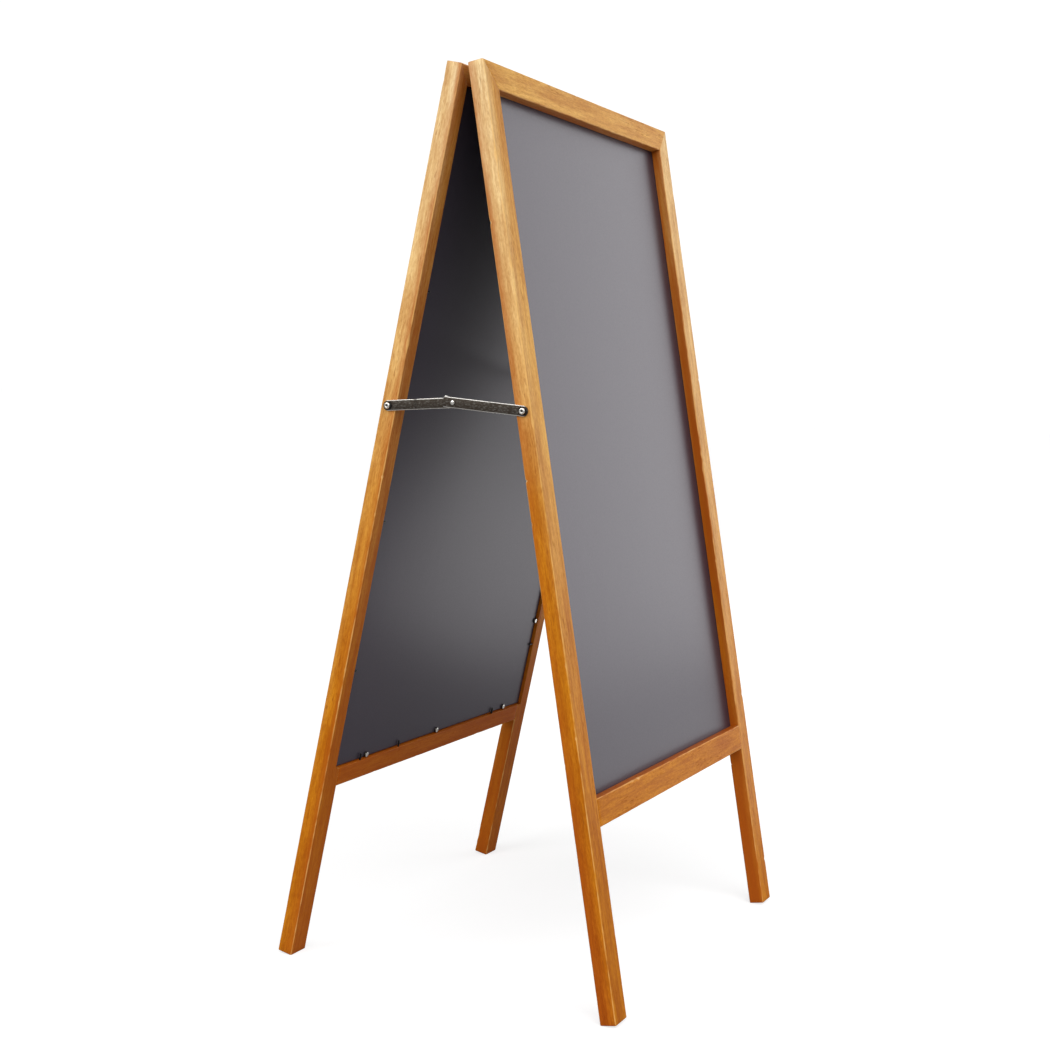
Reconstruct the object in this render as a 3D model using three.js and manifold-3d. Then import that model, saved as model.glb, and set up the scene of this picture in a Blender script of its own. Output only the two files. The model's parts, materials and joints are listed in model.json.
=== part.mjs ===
// Sandwich board: two framed chalkboards, hinged together along the top and held apart by a folding
// stay on each side. Millimetres, +Z up, X along the hinge. The origin is on the floor, midway between
// the four feet. "front" is the -Y frame, "left" is the -X side.
//
// Each frame is drawn in its own space, flat, and then leaned: X along the hinge, -Y out of the face,
// Z up the frame, with the origin on the inner face at the top edge. The back frame is the front frame
// turned half round.

import * as THREE from "three";
import { mergeVertices } from "three/addons/utils/BufferGeometryUtils.js";
import Module from "manifold-3d";

const wasm = await Module();
wasm.setup();

// ---------------------------------------------------------------- driving dimensions

// Frames
const BOARD_WIDTH = 594;
const FRAME_LENGTH = 1200;
const FRAME_DEPTH = 22;
const STILE_FACE = 34;
const TOP_RAIL_FACE = 34;
const BOTTOM_RAIL_FACE = 36;
const LEG_LENGTH = 239; // below the bottom rail
const LEAN_DEG = 10.9; // each frame, from upright
const ARRIS_RADIUS = 2.5;

// Rebate and chalkboard
const REBATE_WIDTH = 10;
const REBATE_LIP = 14; // wood left in front of the chalkboard
const PANEL_THICKNESS = 3.2;
const PANEL_EDGE_PLAY = 2; // between the panel's edge and the rebate's wall

// Stub tenons of the bottom rail
const TENON_LENGTH = 20;
const TENON_THICKNESS = 8;
const TENON_SHOULDER = 5;

// Butt hinges
const HINGE_SPREAD = 360; // between the two hinges' middles
const HINGE_LENGTH = 60;
const KNUCKLE_COUNT = 5;
const KNUCKLE_RADIUS = 3;
const HINGE_PIN_RADIUS = 1.5;
const HINGE_PIN_HEAD_THICKNESS = 1;
const HINGE_PIN_RISE = 3.5; // above the frame's top edge
const LEAF_WIDTH = 22;
const LEAF_THICKNESS = 1.4;
const HINGE_SCREW_PITCH = 36;
const HINGE_SCREW_DROP = 13; // below the pin
const HINGE_SCREW_LENGTH = 16;
const HINGE_SCREW_RADIUS = 1.6;
const HINGE_SCREW_HEAD_RADIUS = 3;
const HINGE_SCREW_HEAD_HEIGHT = 1.3;

// Folding stays
const STAY_DROP = 436; // end screws, below the frame's top edge
const STRAP_WIDTH = 13.5;
const STRAP_THICKNESS = 1.8;
const KNEE_RISE = 7; // the knee above the line of the end screws, open
const JOGGLE_FROM_SCREW = 38;
const JOGGLE_LENGTH = 7;
const BACK_LINK_JOGGLE = 0.9;
const STRAP_TAIL = 14; // front link past the knee
const STOP_TAB_LENGTH = 4;
const STOP_TAB_INSET = 1.5; // from the tail's end
const TAIL_CORNER_RADIUS = 2;
const STAY_SCREW_RADIUS = 2.2;
const STAY_SCREW_LENGTH = 24; // in the wood
const STAY_SCREW_HEAD_RADIUS = 4.2;
const STAY_SCREW_HEAD_HEIGHT = 2.2;
const WASHER_RADIUS = 5.75;
const WASHER_THICKNESS = 0.8;
const RIVET_RADIUS = 2;
const RIVET_HEAD_RADIUS = 3.6;
const RIVET_HEAD_HEIGHT = 1.3;
const RIVET_SET_HEIGHT = 0.5;

// Screws and bent pins that hold the chalkboard in its rebate
const PANEL_SCREW_RADIUS = 1.4;
const PANEL_SCREW_LENGTH = 9;
const PANEL_SCREW_HEAD_RADIUS = 4.1;
const PANEL_SCREW_HEAD_HEIGHT = 2.8;
const PANEL_SCREW_INSET = 4.6; // in from the rebate's wall
const PANEL_PIN_RADIUS = 1.3;
const PANEL_PIN_REACH = 9; // out of the rebate's wall
const PANEL_PIN_BURIED = 7;
const PANEL_PIN_BEND_RADIUS = 1.6;
const PANEL_PIN_LIFT = 0.5; // the straight length above the chalkboard, and how far its end bends back

// Where they sit: the rebate's wall, and how far along it from one of its ends or its middle.
// plusX and minusX are the stiles' walls in the frame's own space, and rail is the bottom rail's.
const PANEL_PINS = [
  { wall: "plusX", from: "top", distance: 261 },
  { wall: "plusX", from: "bottom", distance: 345 },
  { wall: "plusX", from: "bottom", distance: 138 },
  { wall: "minusX", from: "bottom", distance: 103 },
  { wall: "rail", from: "minusX", distance: 98 },
  { wall: "rail", from: "plusX", distance: 164 },
  { wall: "rail", from: "plusX", distance: 63 },
];
const PANEL_SCREWS = [
  { wall: "minusX", from: "bottom", distance: 143 },
  { wall: "rail", from: "minusX", distance: 59 },
  { wall: "rail", from: "middle", distance: 0 },
  { wall: "rail", from: "plusX", distance: 79 },
];

// Clearances
const SEAT_GAP = 0.3; // between pieces that bear on each other
const RUNNING_GAP = 0.3; // radial, round a pivot or in a clearance hole

// ---------------------------------------------------------------- derived dimensions

const LEAN = THREE.MathUtils.degToRad(LEAN_DEG);
const HALF_WIDTH = BOARD_WIDTH / 2;
const RAIL_TOP = FRAME_LENGTH - LEG_LENGTH - BOTTOM_RAIL_FACE; // down from the frame's top edge
const RAIL_BOTTOM = FRAME_LENGTH - LEG_LENGTH;
const REBATE_DEPTH = FRAME_DEPTH - REBATE_LIP;
const PANEL_FRONT = REBATE_DEPTH - SEAT_GAP; // depth from the frame's inner face
const PANEL_BACK = PANEL_FRONT - PANEL_THICKNESS;
const OPENING_HALF_WIDTH = HALF_WIDTH - STILE_FACE;
const REBATE_HALF_WIDTH = OPENING_HALF_WIDTH + REBATE_WIDTH;
const REBATE_TOP = TOP_RAIL_FACE - REBATE_WIDTH;
const REBATE_BOTTOM = RAIL_TOP + REBATE_WIDTH;

const PIN_OFFSET = KNUCKLE_RADIUS + RUNNING_GAP; // hinge pin, inwards from the frame's inner face
const INNER_CORNER_HEIGHT = FRAME_LENGTH * Math.cos(LEAN);
const INNER_CORNER_Y = PIN_OFFSET * Math.cos(LEAN) + HINGE_PIN_RISE * Math.sin(LEAN);

const STAY_SCREW_DEPTH = FRAME_DEPTH / 2;
const STAY_SCREW_Y = INNER_CORNER_Y + STAY_DROP * Math.sin(LEAN) + STAY_SCREW_DEPTH * Math.cos(LEAN);
const STAY_SCREW_Z = INNER_CORNER_HEIGHT - STAY_DROP * Math.cos(LEAN) + STAY_SCREW_DEPTH * Math.sin(LEAN);
const LINK_LENGTH = Math.hypot(STAY_SCREW_Y, KNEE_RISE);
const LINK_SLOPE = Math.atan2(KNEE_RISE, STAY_SCREW_Y);
const STRAP_RADIUS = STRAP_WIDTH / 2;
const BACK_LINK_STANDOFF = SEAT_GAP + BACK_LINK_JOGGLE; // inner surface at the knee, off the stile's side
const FRONT_LINK_STANDOFF = BACK_LINK_STANDOFF + STRAP_THICKNESS + SEAT_GAP;

const TENON_BACK = REBATE_DEPTH + SEAT_GAP; // depth from the frame's inner face
const WASHER_SEAT = SEAT_GAP + STRAP_THICKNESS + SEAT_GAP; // off the stile's side
const PANEL_SCREW_SEAT = SEAT_GAP - PANEL_BACK; // bearing face of the panel screws' heads, in Y
const PANEL_PIN_Y = PANEL_SCREW_SEAT + PANEL_PIN_LIFT + PANEL_PIN_RADIUS; // the pins' axis
const LEAF_BACK = PIN_OFFSET - KNUCKLE_RADIUS; // the leaves' back and face, off the frame's inner face
const LEAF_FACE = LEAF_BACK + LEAF_THICKNESS;

const OVERCUT = 5; // how far a cutting solid runs past the surface it cuts
const ROUND_SIDES = 16;
const HOLE_SIDES = 10; // small holes that a fixing hides
const JOGGLE_STEPS = 6;

// ---------------------------------------------------------------- solids

function toSolid(geometry) {
  const bare = geometry.clone();
  for (const name of Object.keys(bare.attributes)) {
    if (name !== "position") bare.deleteAttribute(name);
  }
  const merged = mergeVertices(bare, 1e-5);
  return new wasm.Manifold(new wasm.Mesh({
    numProp: 3,
    vertProperties: new Float32Array(merged.attributes.position.array),
    triVerts: new Uint32Array(merged.index.array),
  }));
}

function toGeometry(solid) {
  const mesh = solid.getMesh();
  const geometry = new THREE.BufferGeometry();
  geometry.setAttribute("position", new THREE.BufferAttribute(mesh.vertProperties, 3));
  geometry.setIndex(new THREE.BufferAttribute(mesh.triVerts, 1));
  const faceted = geometry.toNonIndexed();
  faceted.computeVertexNormals();
  return faceted;
}

const joinAll = (solids) => solids.reduce((whole, solid) => whole.add(solid));
const cutAll = (solid, cutters) => cutters.reduce((rest, cutter) => rest.subtract(cutter), solid);

// Box between two corners
function block([x0, y0, z0], [x1, y1, z1]) {
  const geometry = new THREE.BoxGeometry(Math.abs(x1 - x0), Math.abs(y1 - y0), Math.abs(z1 - z0));
  geometry.translate((x0 + x1) / 2, (y0 + y1) / 2, (z0 + z1) / 2);
  return toSolid(geometry);
}

// Extrusion of a shape, whose plane and direction the three given axes set
function extrusion(shape, depth, [xAxis, yAxis, zAxis], origin = [0, 0, 0], curveSegments = 2) {
  const geometry = new THREE.ExtrudeGeometry(shape, { depth, bevelEnabled: false, curveSegments });
  const axes = [xAxis, yAxis, zAxis].map((axis) => new THREE.Vector3(...axis));
  const place = new THREE.Matrix4().makeBasis(...axes).setPosition(...origin);
  return toSolid(geometry.applyMatrix4(place));
}

// Turned piece: [radius, height] pairs from one end of its axis to the other, pointed along direction
function turned(profile, direction, origin = [0, 0, 0], sides = ROUND_SIDES) {
  const points = profile.map(([radius, height]) => new THREE.Vector2(radius, height));
  const geometry = new THREE.LatheGeometry(points, sides);
  const towards = new THREE.Vector3(...direction).normalize();
  const turn = new THREE.Quaternion().setFromUnitVectors(new THREE.Vector3(0, 1, 0), towards);
  geometry.applyQuaternion(turn).translate(...origin);
  return toSolid(geometry);
}

const rod = (radius, start, length, direction, origin, sides) =>
  turned([[0, start], [radius, start], [radius, start + length], [0, start + length]],
    direction, origin, sides);

function roundedRectangle(x0, x1, y0, y1, radius) {
  const shape = new THREE.Shape();
  shape.moveTo(x0 + radius, y0);
  shape.lineTo(x1 - radius, y0);
  shape.absarc(x1 - radius, y0 + radius, radius, -Math.PI / 2, 0);
  shape.lineTo(x1, y1 - radius);
  shape.absarc(x1 - radius, y1 - radius, radius, 0, Math.PI / 2);
  shape.lineTo(x0 + radius, y1);
  shape.absarc(x0 + radius, y1 - radius, radius, Math.PI / 2, Math.PI);
  shape.lineTo(x0, y0 + radius);
  shape.absarc(x0 + radius, y0 + radius, radius, Math.PI, 1.5 * Math.PI);
  return shape;
}

function polygon(points) {
  return new THREE.Shape(points.map(([x, y]) => new THREE.Vector2(x, y)));
}

// ---------------------------------------------------------------- materials

const finish = (color, roughness, metalness) => () =>
  new THREE.MeshStandardMaterial({ color, roughness, metalness });

const stainedWood = finish(0xc07a34, 0.45, 0);
const chalkboardPaint = finish(0x3a393c, 0.5, 0);
const platedSteel = finish(0xa8a59c, 0.3, 1);
const blackedSteel = finish(0x1c1b1a, 0.45, 0.8);

function piece(name, solid, material) {
  const mesh = new THREE.Mesh(toGeometry(solid), material());
  mesh.name = name;
  return mesh;
}

// ---------------------------------------------------------------- wooden frame

const ALONG_Z = [[1, 0, 0], [0, 1, 0], [0, 0, 1]]; // shape in XY, extruded up
const ALONG_X = [[0, 1, 0], [0, 0, 1], [1, 0, 0]]; // shape in YZ, extruded along X

// Wedge that cuts one side away from the mitre between a frame's top outer corner and its opening.
// side is -1 or 1 in X; the cut also takes the given clearance off the piece that it shapes.
function mitreWedge(side, shapes, clearance) {
  const overrun = 0.2; // of the mitre's own length, past each of its ends
  const lean = (clearance * Math.hypot(STILE_FACE, TOP_RAIL_FACE)) / TOP_RAIL_FACE;
  const corner = HALF_WIDTH + (shapes === "stile" ? lean : -lean);
  const outerX = side * (corner + overrun * STILE_FACE);
  const innerX = side * (corner - (1 + overrun) * STILE_FACE);
  const top = overrun * TOP_RAIL_FACE;
  const bottom = -(1 + overrun) * TOP_RAIL_FACE;
  const waste = shapes === "stile" ? [innerX, top] : [outerX, bottom];
  return extrusion(
    polygon([[outerX, top], [innerX, bottom], waste]), FRAME_DEPTH + 2 * OVERCUT,
    [[1, 0, 0], [0, 0, 1], [0, -1, 0]], [0, OVERCUT, 0]);
}

function tenon(side, clearance) {
  const shoulder = side * (OPENING_HALF_WIDTH - OVERCUT);
  const end = side * (OPENING_HALF_WIDTH + TENON_LENGTH + clearance);
  return block(
    [shoulder, -(TENON_BACK - clearance), -(RAIL_BOTTOM - TENON_SHOULDER + clearance)],
    [end, -(TENON_BACK + TENON_THICKNESS + clearance), -(RAIL_TOP + TENON_SHOULDER - clearance)]);
}

function stile(side) {
  const inner = side * OPENING_HALF_WIDTH;
  const outer = side * HALF_WIDTH;
  const section = roundedRectangle(
    Math.min(inner, outer), Math.max(inner, outer), -FRAME_DEPTH, 0, ARRIS_RADIUS);
  const blank = extrusion(section, FRAME_LENGTH, ALONG_Z, [0, 0, -FRAME_LENGTH]);
  const rebate = block(
    [side * REBATE_HALF_WIDTH, -REBATE_DEPTH, OVERCUT],
    [inner - side * OVERCUT, OVERCUT, -REBATE_BOTTOM]);
  const screwHole = rod(
    STAY_SCREW_RADIUS + RUNNING_GAP, -STAY_SCREW_LENGTH - SEAT_GAP, STAY_SCREW_LENGTH + OVERCUT,
    [side, 0, 0], [outer, -STAY_SCREW_DEPTH, -STAY_DROP]);
  return cutAll(blank, [rebate, tenon(side, SEAT_GAP), screwHole, mitreWedge(side, "stile", SEAT_GAP / 2)]);
}

function hingeScrewPlaces() {
  const places = [];
  for (const hinge of [-1, 1]) {
    for (const end of [-1, 1]) {
      const x = (hinge * HINGE_SPREAD + end * HINGE_SCREW_PITCH) / 2;
      places.push({ hinge, end, x, z: HINGE_PIN_RISE - HINGE_SCREW_DROP });
    }
  }
  return places;
}

function topRail() {
  const section = roundedRectangle(-FRAME_DEPTH, 0, -TOP_RAIL_FACE, 0, ARRIS_RADIUS);
  const blank = extrusion(section, BOARD_WIDTH, ALONG_X, [-HALF_WIDTH, 0, 0]);
  const rebate = block(
    [-HALF_WIDTH - OVERCUT, -REBATE_DEPTH, -REBATE_TOP],
    [HALF_WIDTH + OVERCUT, OVERCUT, -TOP_RAIL_FACE - OVERCUT]);
  const screwHoles = hingeScrewPlaces().map(({ x, z }) => rod(
    HINGE_SCREW_RADIUS + RUNNING_GAP, -OVERCUT, HINGE_SCREW_LENGTH + SEAT_GAP + OVERCUT,
    [0, -1, 0], [x, 0, z], HOLE_SIDES));
  const mitres = [-1, 1].map((side) => mitreWedge(side, "rail", SEAT_GAP / 2));
  return cutAll(blank, [rebate, ...screwHoles, ...mitres]);
}

function bottomRail() {
  const half = OPENING_HALF_WIDTH - SEAT_GAP;
  const section = roundedRectangle(-FRAME_DEPTH, 0, -RAIL_BOTTOM, -RAIL_TOP, ARRIS_RADIUS);
  const blank = extrusion(section, 2 * half, ALONG_X, [-half, 0, 0]);
  const rebate = block(
    [-half - OVERCUT, -REBATE_DEPTH, -RAIL_TOP + OVERCUT],
    [half + OVERCUT, OVERCUT, -REBATE_BOTTOM]);
  return joinAll([blank.subtract(rebate), tenon(-1, 0), tenon(1, 0)]);
}

function chalkboard() {
  const halfWidth = REBATE_HALF_WIDTH - PANEL_EDGE_PLAY;
  return cutAll(
    block(
      [-halfWidth, -PANEL_FRONT, -REBATE_TOP - PANEL_EDGE_PLAY],
      [halfWidth, -PANEL_BACK, -REBATE_BOTTOM + PANEL_EDGE_PLAY]),
    panelScrewPlaces().map(({ x, z }) => rod(
      PANEL_SCREW_RADIUS + RUNNING_GAP, 0, REBATE_DEPTH + OVERCUT, [0, -1, 0], [x, 0, z], HOLE_SIDES)));
}

// ---------------------------------------------------------------- chalkboard fixings

// Point on a rebate's wall, moved inset into the opening; out is the way that the wall faces
function rebatePlace({ wall, from, distance }, inset) {
  if (wall === "rail") {
    const x = {
      plusX: REBATE_HALF_WIDTH - distance, minusX: distance - REBATE_HALF_WIDTH, middle: distance,
    };
    return { x: x[from], z: -REBATE_BOTTOM + inset, out: [0, 0, 1] };
  }
  const side = wall === "plusX" ? 1 : -1;
  const z = from === "top" ? -REBATE_TOP - distance : -REBATE_BOTTOM + distance;
  return { x: side * (REBATE_HALF_WIDTH - inset), z, out: [-side, 0, 0] };
}

const panelScrewPlaces = () => PANEL_SCREWS.map((place) => rebatePlace(place, PANEL_SCREW_INSET));
const panelPinPlaces = () => PANEL_PINS.map((place) => rebatePlace(place, 0));

// Button-headed screw with a six-sided socket, along direction from its bearing face at the origin
function buttonHeadScrew(radius, length, headRadius, headHeight, direction, origin) {
  const screw = turned([
    [0, -length], [radius, -length + radius], [radius, 0], [headRadius, 0], [headRadius, headHeight * 0.4],
    [headRadius * 0.8, headHeight * 0.85], [headRadius * 0.5, headHeight], [0, headHeight],
  ], direction, origin, 14);
  const socket = rod(headRadius * 0.36, headHeight * 0.35, headHeight, direction, origin, 6);
  return screw.subtract(socket);
}

function panelScrew({ x, z }) {
  return buttonHeadScrew(PANEL_SCREW_RADIUS, PANEL_SCREW_LENGTH, PANEL_SCREW_HEAD_RADIUS,
    PANEL_SCREW_HEAD_HEIGHT, [0, 1, 0], [x, PANEL_SCREW_SEAT, z]);
}

// Headless pin driven into the rebate's wall, its free end bent back towards the chalkboard
function panelPin({ x, z, out }) {
  const wall = new THREE.Vector3(x, PANEL_PIN_Y, z);
  const outward = new THREE.Vector3(...out);
  const at = (along, deep) => wall.clone().addScaledVector(outward, along).setY(PANEL_PIN_Y - deep);
  const bend = at(PANEL_PIN_REACH - PANEL_PIN_BEND_RADIUS, 0);
  const path = new THREE.CurvePath();
  path.add(new THREE.LineCurve3(at(-PANEL_PIN_BURIED, 0), bend));
  path.add(new THREE.QuadraticBezierCurve3(
    bend, at(PANEL_PIN_REACH - PANEL_PIN_BEND_RADIUS / 3, 0), at(PANEL_PIN_REACH, PANEL_PIN_LIFT * 0.9)));
  const section = new THREE.Shape().absarc(0, 0, PANEL_PIN_RADIUS, 0, 2 * Math.PI);
  return toSolid(new THREE.ExtrudeGeometry(section, { steps: 8, curveSegments: 4, extrudePath: path }));
}

// A hole for each pin, so that its wall is cut where it enters
function pinHoles(places) {
  return places.map(({ x, z, out }) => rod(
    PANEL_PIN_RADIUS + RUNNING_GAP, -PANEL_PIN_BURIED - SEAT_GAP, PANEL_PIN_BURIED + OVERCUT,
    out, [x, PANEL_PIN_Y, z], HOLE_SIDES));
}

// Pilot holes for the panel screws in the lip that they are driven into
function panelScrewHoles(places) {
  return places.map(({ x, z }) => rod(
    PANEL_SCREW_RADIUS + RUNNING_GAP, 0, PANEL_SCREW_LENGTH + SEAT_GAP, [0, -1, 0],
    [x, PANEL_SCREW_SEAT, z], HOLE_SIDES));
}

// ---------------------------------------------------------------- hinges

// One leaf of the hinge on the left (-1) or the right (1); it holds the odd or the even knuckles
function hingeLeaf(hinge, holdsEnds) {
  const middle = (hinge * HINGE_SPREAD) / 2;
  const start = middle - HINGE_LENGTH / 2;
  const pitch = HINGE_LENGTH / KNUCKLE_COUNT;
  const plateTop = HINGE_PIN_RISE - KNUCKLE_RADIUS - RUNNING_GAP;
  const solids = [block(
    [start, LEAF_BACK, plateTop],
    [start + HINGE_LENGTH, LEAF_FACE, HINGE_PIN_RISE - LEAF_WIDTH])];
  for (let i = holdsEnds ? 0 : 1; i < KNUCKLE_COUNT; i += 2) {
    const x0 = start + i * pitch + RUNNING_GAP / 2;
    const x1 = start + (i + 1) * pitch - RUNNING_GAP / 2;
    solids.push(block([x0, LEAF_BACK, HINGE_PIN_RISE], [x1, LEAF_FACE, plateTop - LEAF_THICKNESS]));
    solids.push(rod(KNUCKLE_RADIUS, x0, x1 - x0, [1, 0, 0], [0, PIN_OFFSET, HINGE_PIN_RISE]));
  }
  const bore = rod(HINGE_PIN_RADIUS + RUNNING_GAP, start - OVERCUT, HINGE_LENGTH + 2 * OVERCUT,
    [1, 0, 0], [0, PIN_OFFSET, HINGE_PIN_RISE]);
  const countersinks = hingeScrewPlaces().filter((place) => place.hinge === hinge).map(({ x, z }) =>
    countersunkShape(x, z, RUNNING_GAP, OVERCUT));
  return cutAll(joinAll(solids), [bore, ...countersinks]);
}

// Countersunk screw flush with its leaf; with a clearance and a run-out, the hole that it sits in
function countersunkShape(x, z, clearance, runOut) {
  const rim = HINGE_SCREW_HEAD_RADIUS + clearance;
  const shank = HINGE_SCREW_RADIUS + clearance;
  const mouth = runOut > 0 ? [[rim, runOut]] : [];
  return turned([
    [0, -HINGE_SCREW_LENGTH], [shank / 2, -HINGE_SCREW_LENGTH], [shank, shank - HINGE_SCREW_LENGTH],
    [shank, -HINGE_SCREW_HEAD_HEIGHT], [rim, 0], ...mouth, [0, runOut],
  ], [0, 1, 0], [x, LEAF_FACE, z], 14);
}

function hingeScrew({ x, z }) {
  const long = HINGE_SCREW_HEAD_RADIUS * 0.6;
  const short = HINGE_SCREW_HEAD_RADIUS * 0.14;
  const floor = LEAF_FACE - HINGE_SCREW_HEAD_HEIGHT * 0.7;
  const crossRecess = [[long, short], [short, long]].map(([halfX, halfZ]) => block(
    [x - halfX, floor, z - halfZ], [x + halfX, LEAF_FACE + OVERCUT, z + halfZ]));
  return cutAll(countersunkShape(x, z, 0, 0), crossRecess);
}

// Pin with a flat head outside the knuckles at each end
function hingePin(hinge) {
  const middle = (hinge * HINGE_SPREAD) / 2;
  const half = HINGE_LENGTH / 2 + SEAT_GAP;
  const end = half + HINGE_PIN_HEAD_THICKNESS;
  const headRadius = KNUCKLE_RADIUS * 0.8;
  return turned([
    [0, -end], [headRadius, -end], [headRadius, -half], [HINGE_PIN_RADIUS, -half],
    [HINGE_PIN_RADIUS, half], [headRadius, half], [headRadius, end], [0, end],
  ], [1, 0, 0], [middle, PIN_OFFSET, HINGE_PIN_RISE]);
}

// ---------------------------------------------------------------- stay

// A link lies along +Y from its end screw to the knee, standing off the stile's side towards -X (the left
// stay), with its upper edge at +Z. It is the strap's outline cut from its side profile, which has an
// S-bend from the stile's side out to the standoff.
function strap(tail, standoff) {
  const squareEnd = tail > 0;
  const end = LINK_LENGTH + (squareEnd ? tail : STRAP_RADIUS);
  const corner = squareEnd ? TAIL_CORNER_RADIUS : STRAP_RADIUS;
  const outline = new THREE.Shape();
  outline.moveTo(0, -STRAP_RADIUS);
  outline.lineTo(end - corner, -STRAP_RADIUS);
  outline.absarc(end - corner, corner - STRAP_RADIUS, corner, -Math.PI / 2, 0);
  outline.absarc(end - corner, STRAP_RADIUS - corner, corner, 0, Math.PI / 2);
  outline.lineTo(0, STRAP_RADIUS);
  outline.absarc(0, 0, STRAP_RADIUS, Math.PI / 2, 1.5 * Math.PI);
  const reach = standoff + STRAP_THICKNESS + OVERCUT;
  const flat = extrusion(outline, reach + OVERCUT, [[0, 1, 0], [0, 0, 1], [1, 0, 0]], [-reach, 0, 0], 5);

  const stations = [-STRAP_WIDTH];
  for (let i = 0; i <= JOGGLE_STEPS; i++) {
    stations.push(JOGGLE_FROM_SCREW + (JOGGLE_LENGTH * i) / JOGGLE_STEPS);
  }
  stations.push(end + OVERCUT);
  const joggleEnd = JOGGLE_FROM_SCREW + JOGGLE_LENGTH;
  const level = (y) => THREE.MathUtils.lerp(
    SEAT_GAP, standoff, THREE.MathUtils.smoothstep(y, JOGGLE_FROM_SCREW, joggleEnd));
  const inner = stations.map((y) => [-level(y), y]);
  const outer = stations.map((y) => [-level(y) - STRAP_THICKNESS, y]).reverse();
  return flat.intersect(
    extrusion(polygon([...inner, ...outer]), 2 * STRAP_WIDTH, ALONG_Z, [0, 0, -STRAP_WIDTH]));
}

const endHole = () => rod(STAY_SCREW_RADIUS + RUNNING_GAP, -OVERCUT, 4 * OVERCUT, [-1, 0, 0]);

function frontLink() {
  const kneeHole = rod(RIVET_RADIUS + RUNNING_GAP, -OVERCUT, 4 * OVERCUT, [-1, 0, 0], [0, LINK_LENGTH, 0]);
  // stop tab, folded over the back link's upper edge just past the knee
  const tabStart = STRAP_TAIL - STOP_TAB_INSET - STOP_TAB_LENGTH;
  const knee = 2 * LINK_SLOPE; // between the two links, open
  const tabUnder = STRAP_RADIUS / Math.cos(knee) - tabStart * Math.tan(knee) + SEAT_GAP;
  const tab = block(
    [-FRONT_LINK_STANDOFF - STRAP_THICKNESS, LINK_LENGTH + tabStart, tabUnder],
    [-BACK_LINK_STANDOFF, LINK_LENGTH + tabStart + STOP_TAB_LENGTH, tabUnder + STRAP_THICKNESS]);
  return cutAll(strap(STRAP_TAIL, FRONT_LINK_STANDOFF).add(tab), [endHole(), kneeHole]);
}

// The back link carries the rivet's set end, because the knee is where the linkage's loop is opened
function backLink() {
  const setEnd = rod(
    RIVET_HEAD_RADIUS * 0.8, BACK_LINK_STANDOFF - RIVET_SET_HEIGHT, RIVET_SET_HEIGHT + STRAP_THICKNESS / 2,
    [-1, 0, 0], [0, LINK_LENGTH, 0]);
  return strap(0, BACK_LINK_STANDOFF).add(setEnd).subtract(endHole());
}

function kneeRivet() {
  const inner = FRONT_LINK_STANDOFF;
  const seat = FRONT_LINK_STANDOFF + STRAP_THICKNESS + SEAT_GAP;
  return turned([
    [0, inner], [RIVET_RADIUS, inner], [RIVET_RADIUS, seat], [RIVET_HEAD_RADIUS, seat],
    [RIVET_HEAD_RADIUS * 0.9, seat + RIVET_HEAD_HEIGHT * 0.55],
    [RIVET_HEAD_RADIUS * 0.5, seat + RIVET_HEAD_HEIGHT * 0.9], [0, seat + RIVET_HEAD_HEIGHT],
  ], [-1, 0, 0], [0, LINK_LENGTH, 0]);
}

function stayWasher(side, x) {
  const hole = STAY_SCREW_RADIUS + RUNNING_GAP;
  return turned([
    [hole, WASHER_SEAT], [WASHER_RADIUS, WASHER_SEAT], [WASHER_RADIUS, WASHER_SEAT + WASHER_THICKNESS],
    [hole, WASHER_SEAT + WASHER_THICKNESS], [hole, WASHER_SEAT],
  ], [side, 0, 0], [x, -STAY_SCREW_DEPTH, -STAY_DROP]);
}

function stayScrew(side, x) {
  const seat = WASHER_SEAT + WASHER_THICKNESS + SEAT_GAP;
  return buttonHeadScrew(STAY_SCREW_RADIUS, STAY_SCREW_LENGTH + seat, STAY_SCREW_HEAD_RADIUS,
    STAY_SCREW_HEAD_HEIGHT, [side, 0, 0], [x + side * seat, -STAY_SCREW_DEPTH, -STAY_DROP]);
}

// The same piece for the other side: mirrored in X, with its faces turned back out
function mirrored(solid) {
  const mesh = solid.getMesh();
  const corners = mesh.triVerts.slice();
  for (let i = 0; i < corners.length; i += 3) {
    [corners[i + 1], corners[i + 2]] = [corners[i + 2], corners[i + 1]];
  }
  const geometry = new THREE.BufferGeometry();
  geometry.setAttribute("position", new THREE.BufferAttribute(mesh.vertProperties, 3));
  geometry.setIndex(new THREE.BufferAttribute(corners, 1));
  return toSolid(geometry.scale(-1, 1, 1));
}

// ---------------------------------------------------------------- assembly

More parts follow.
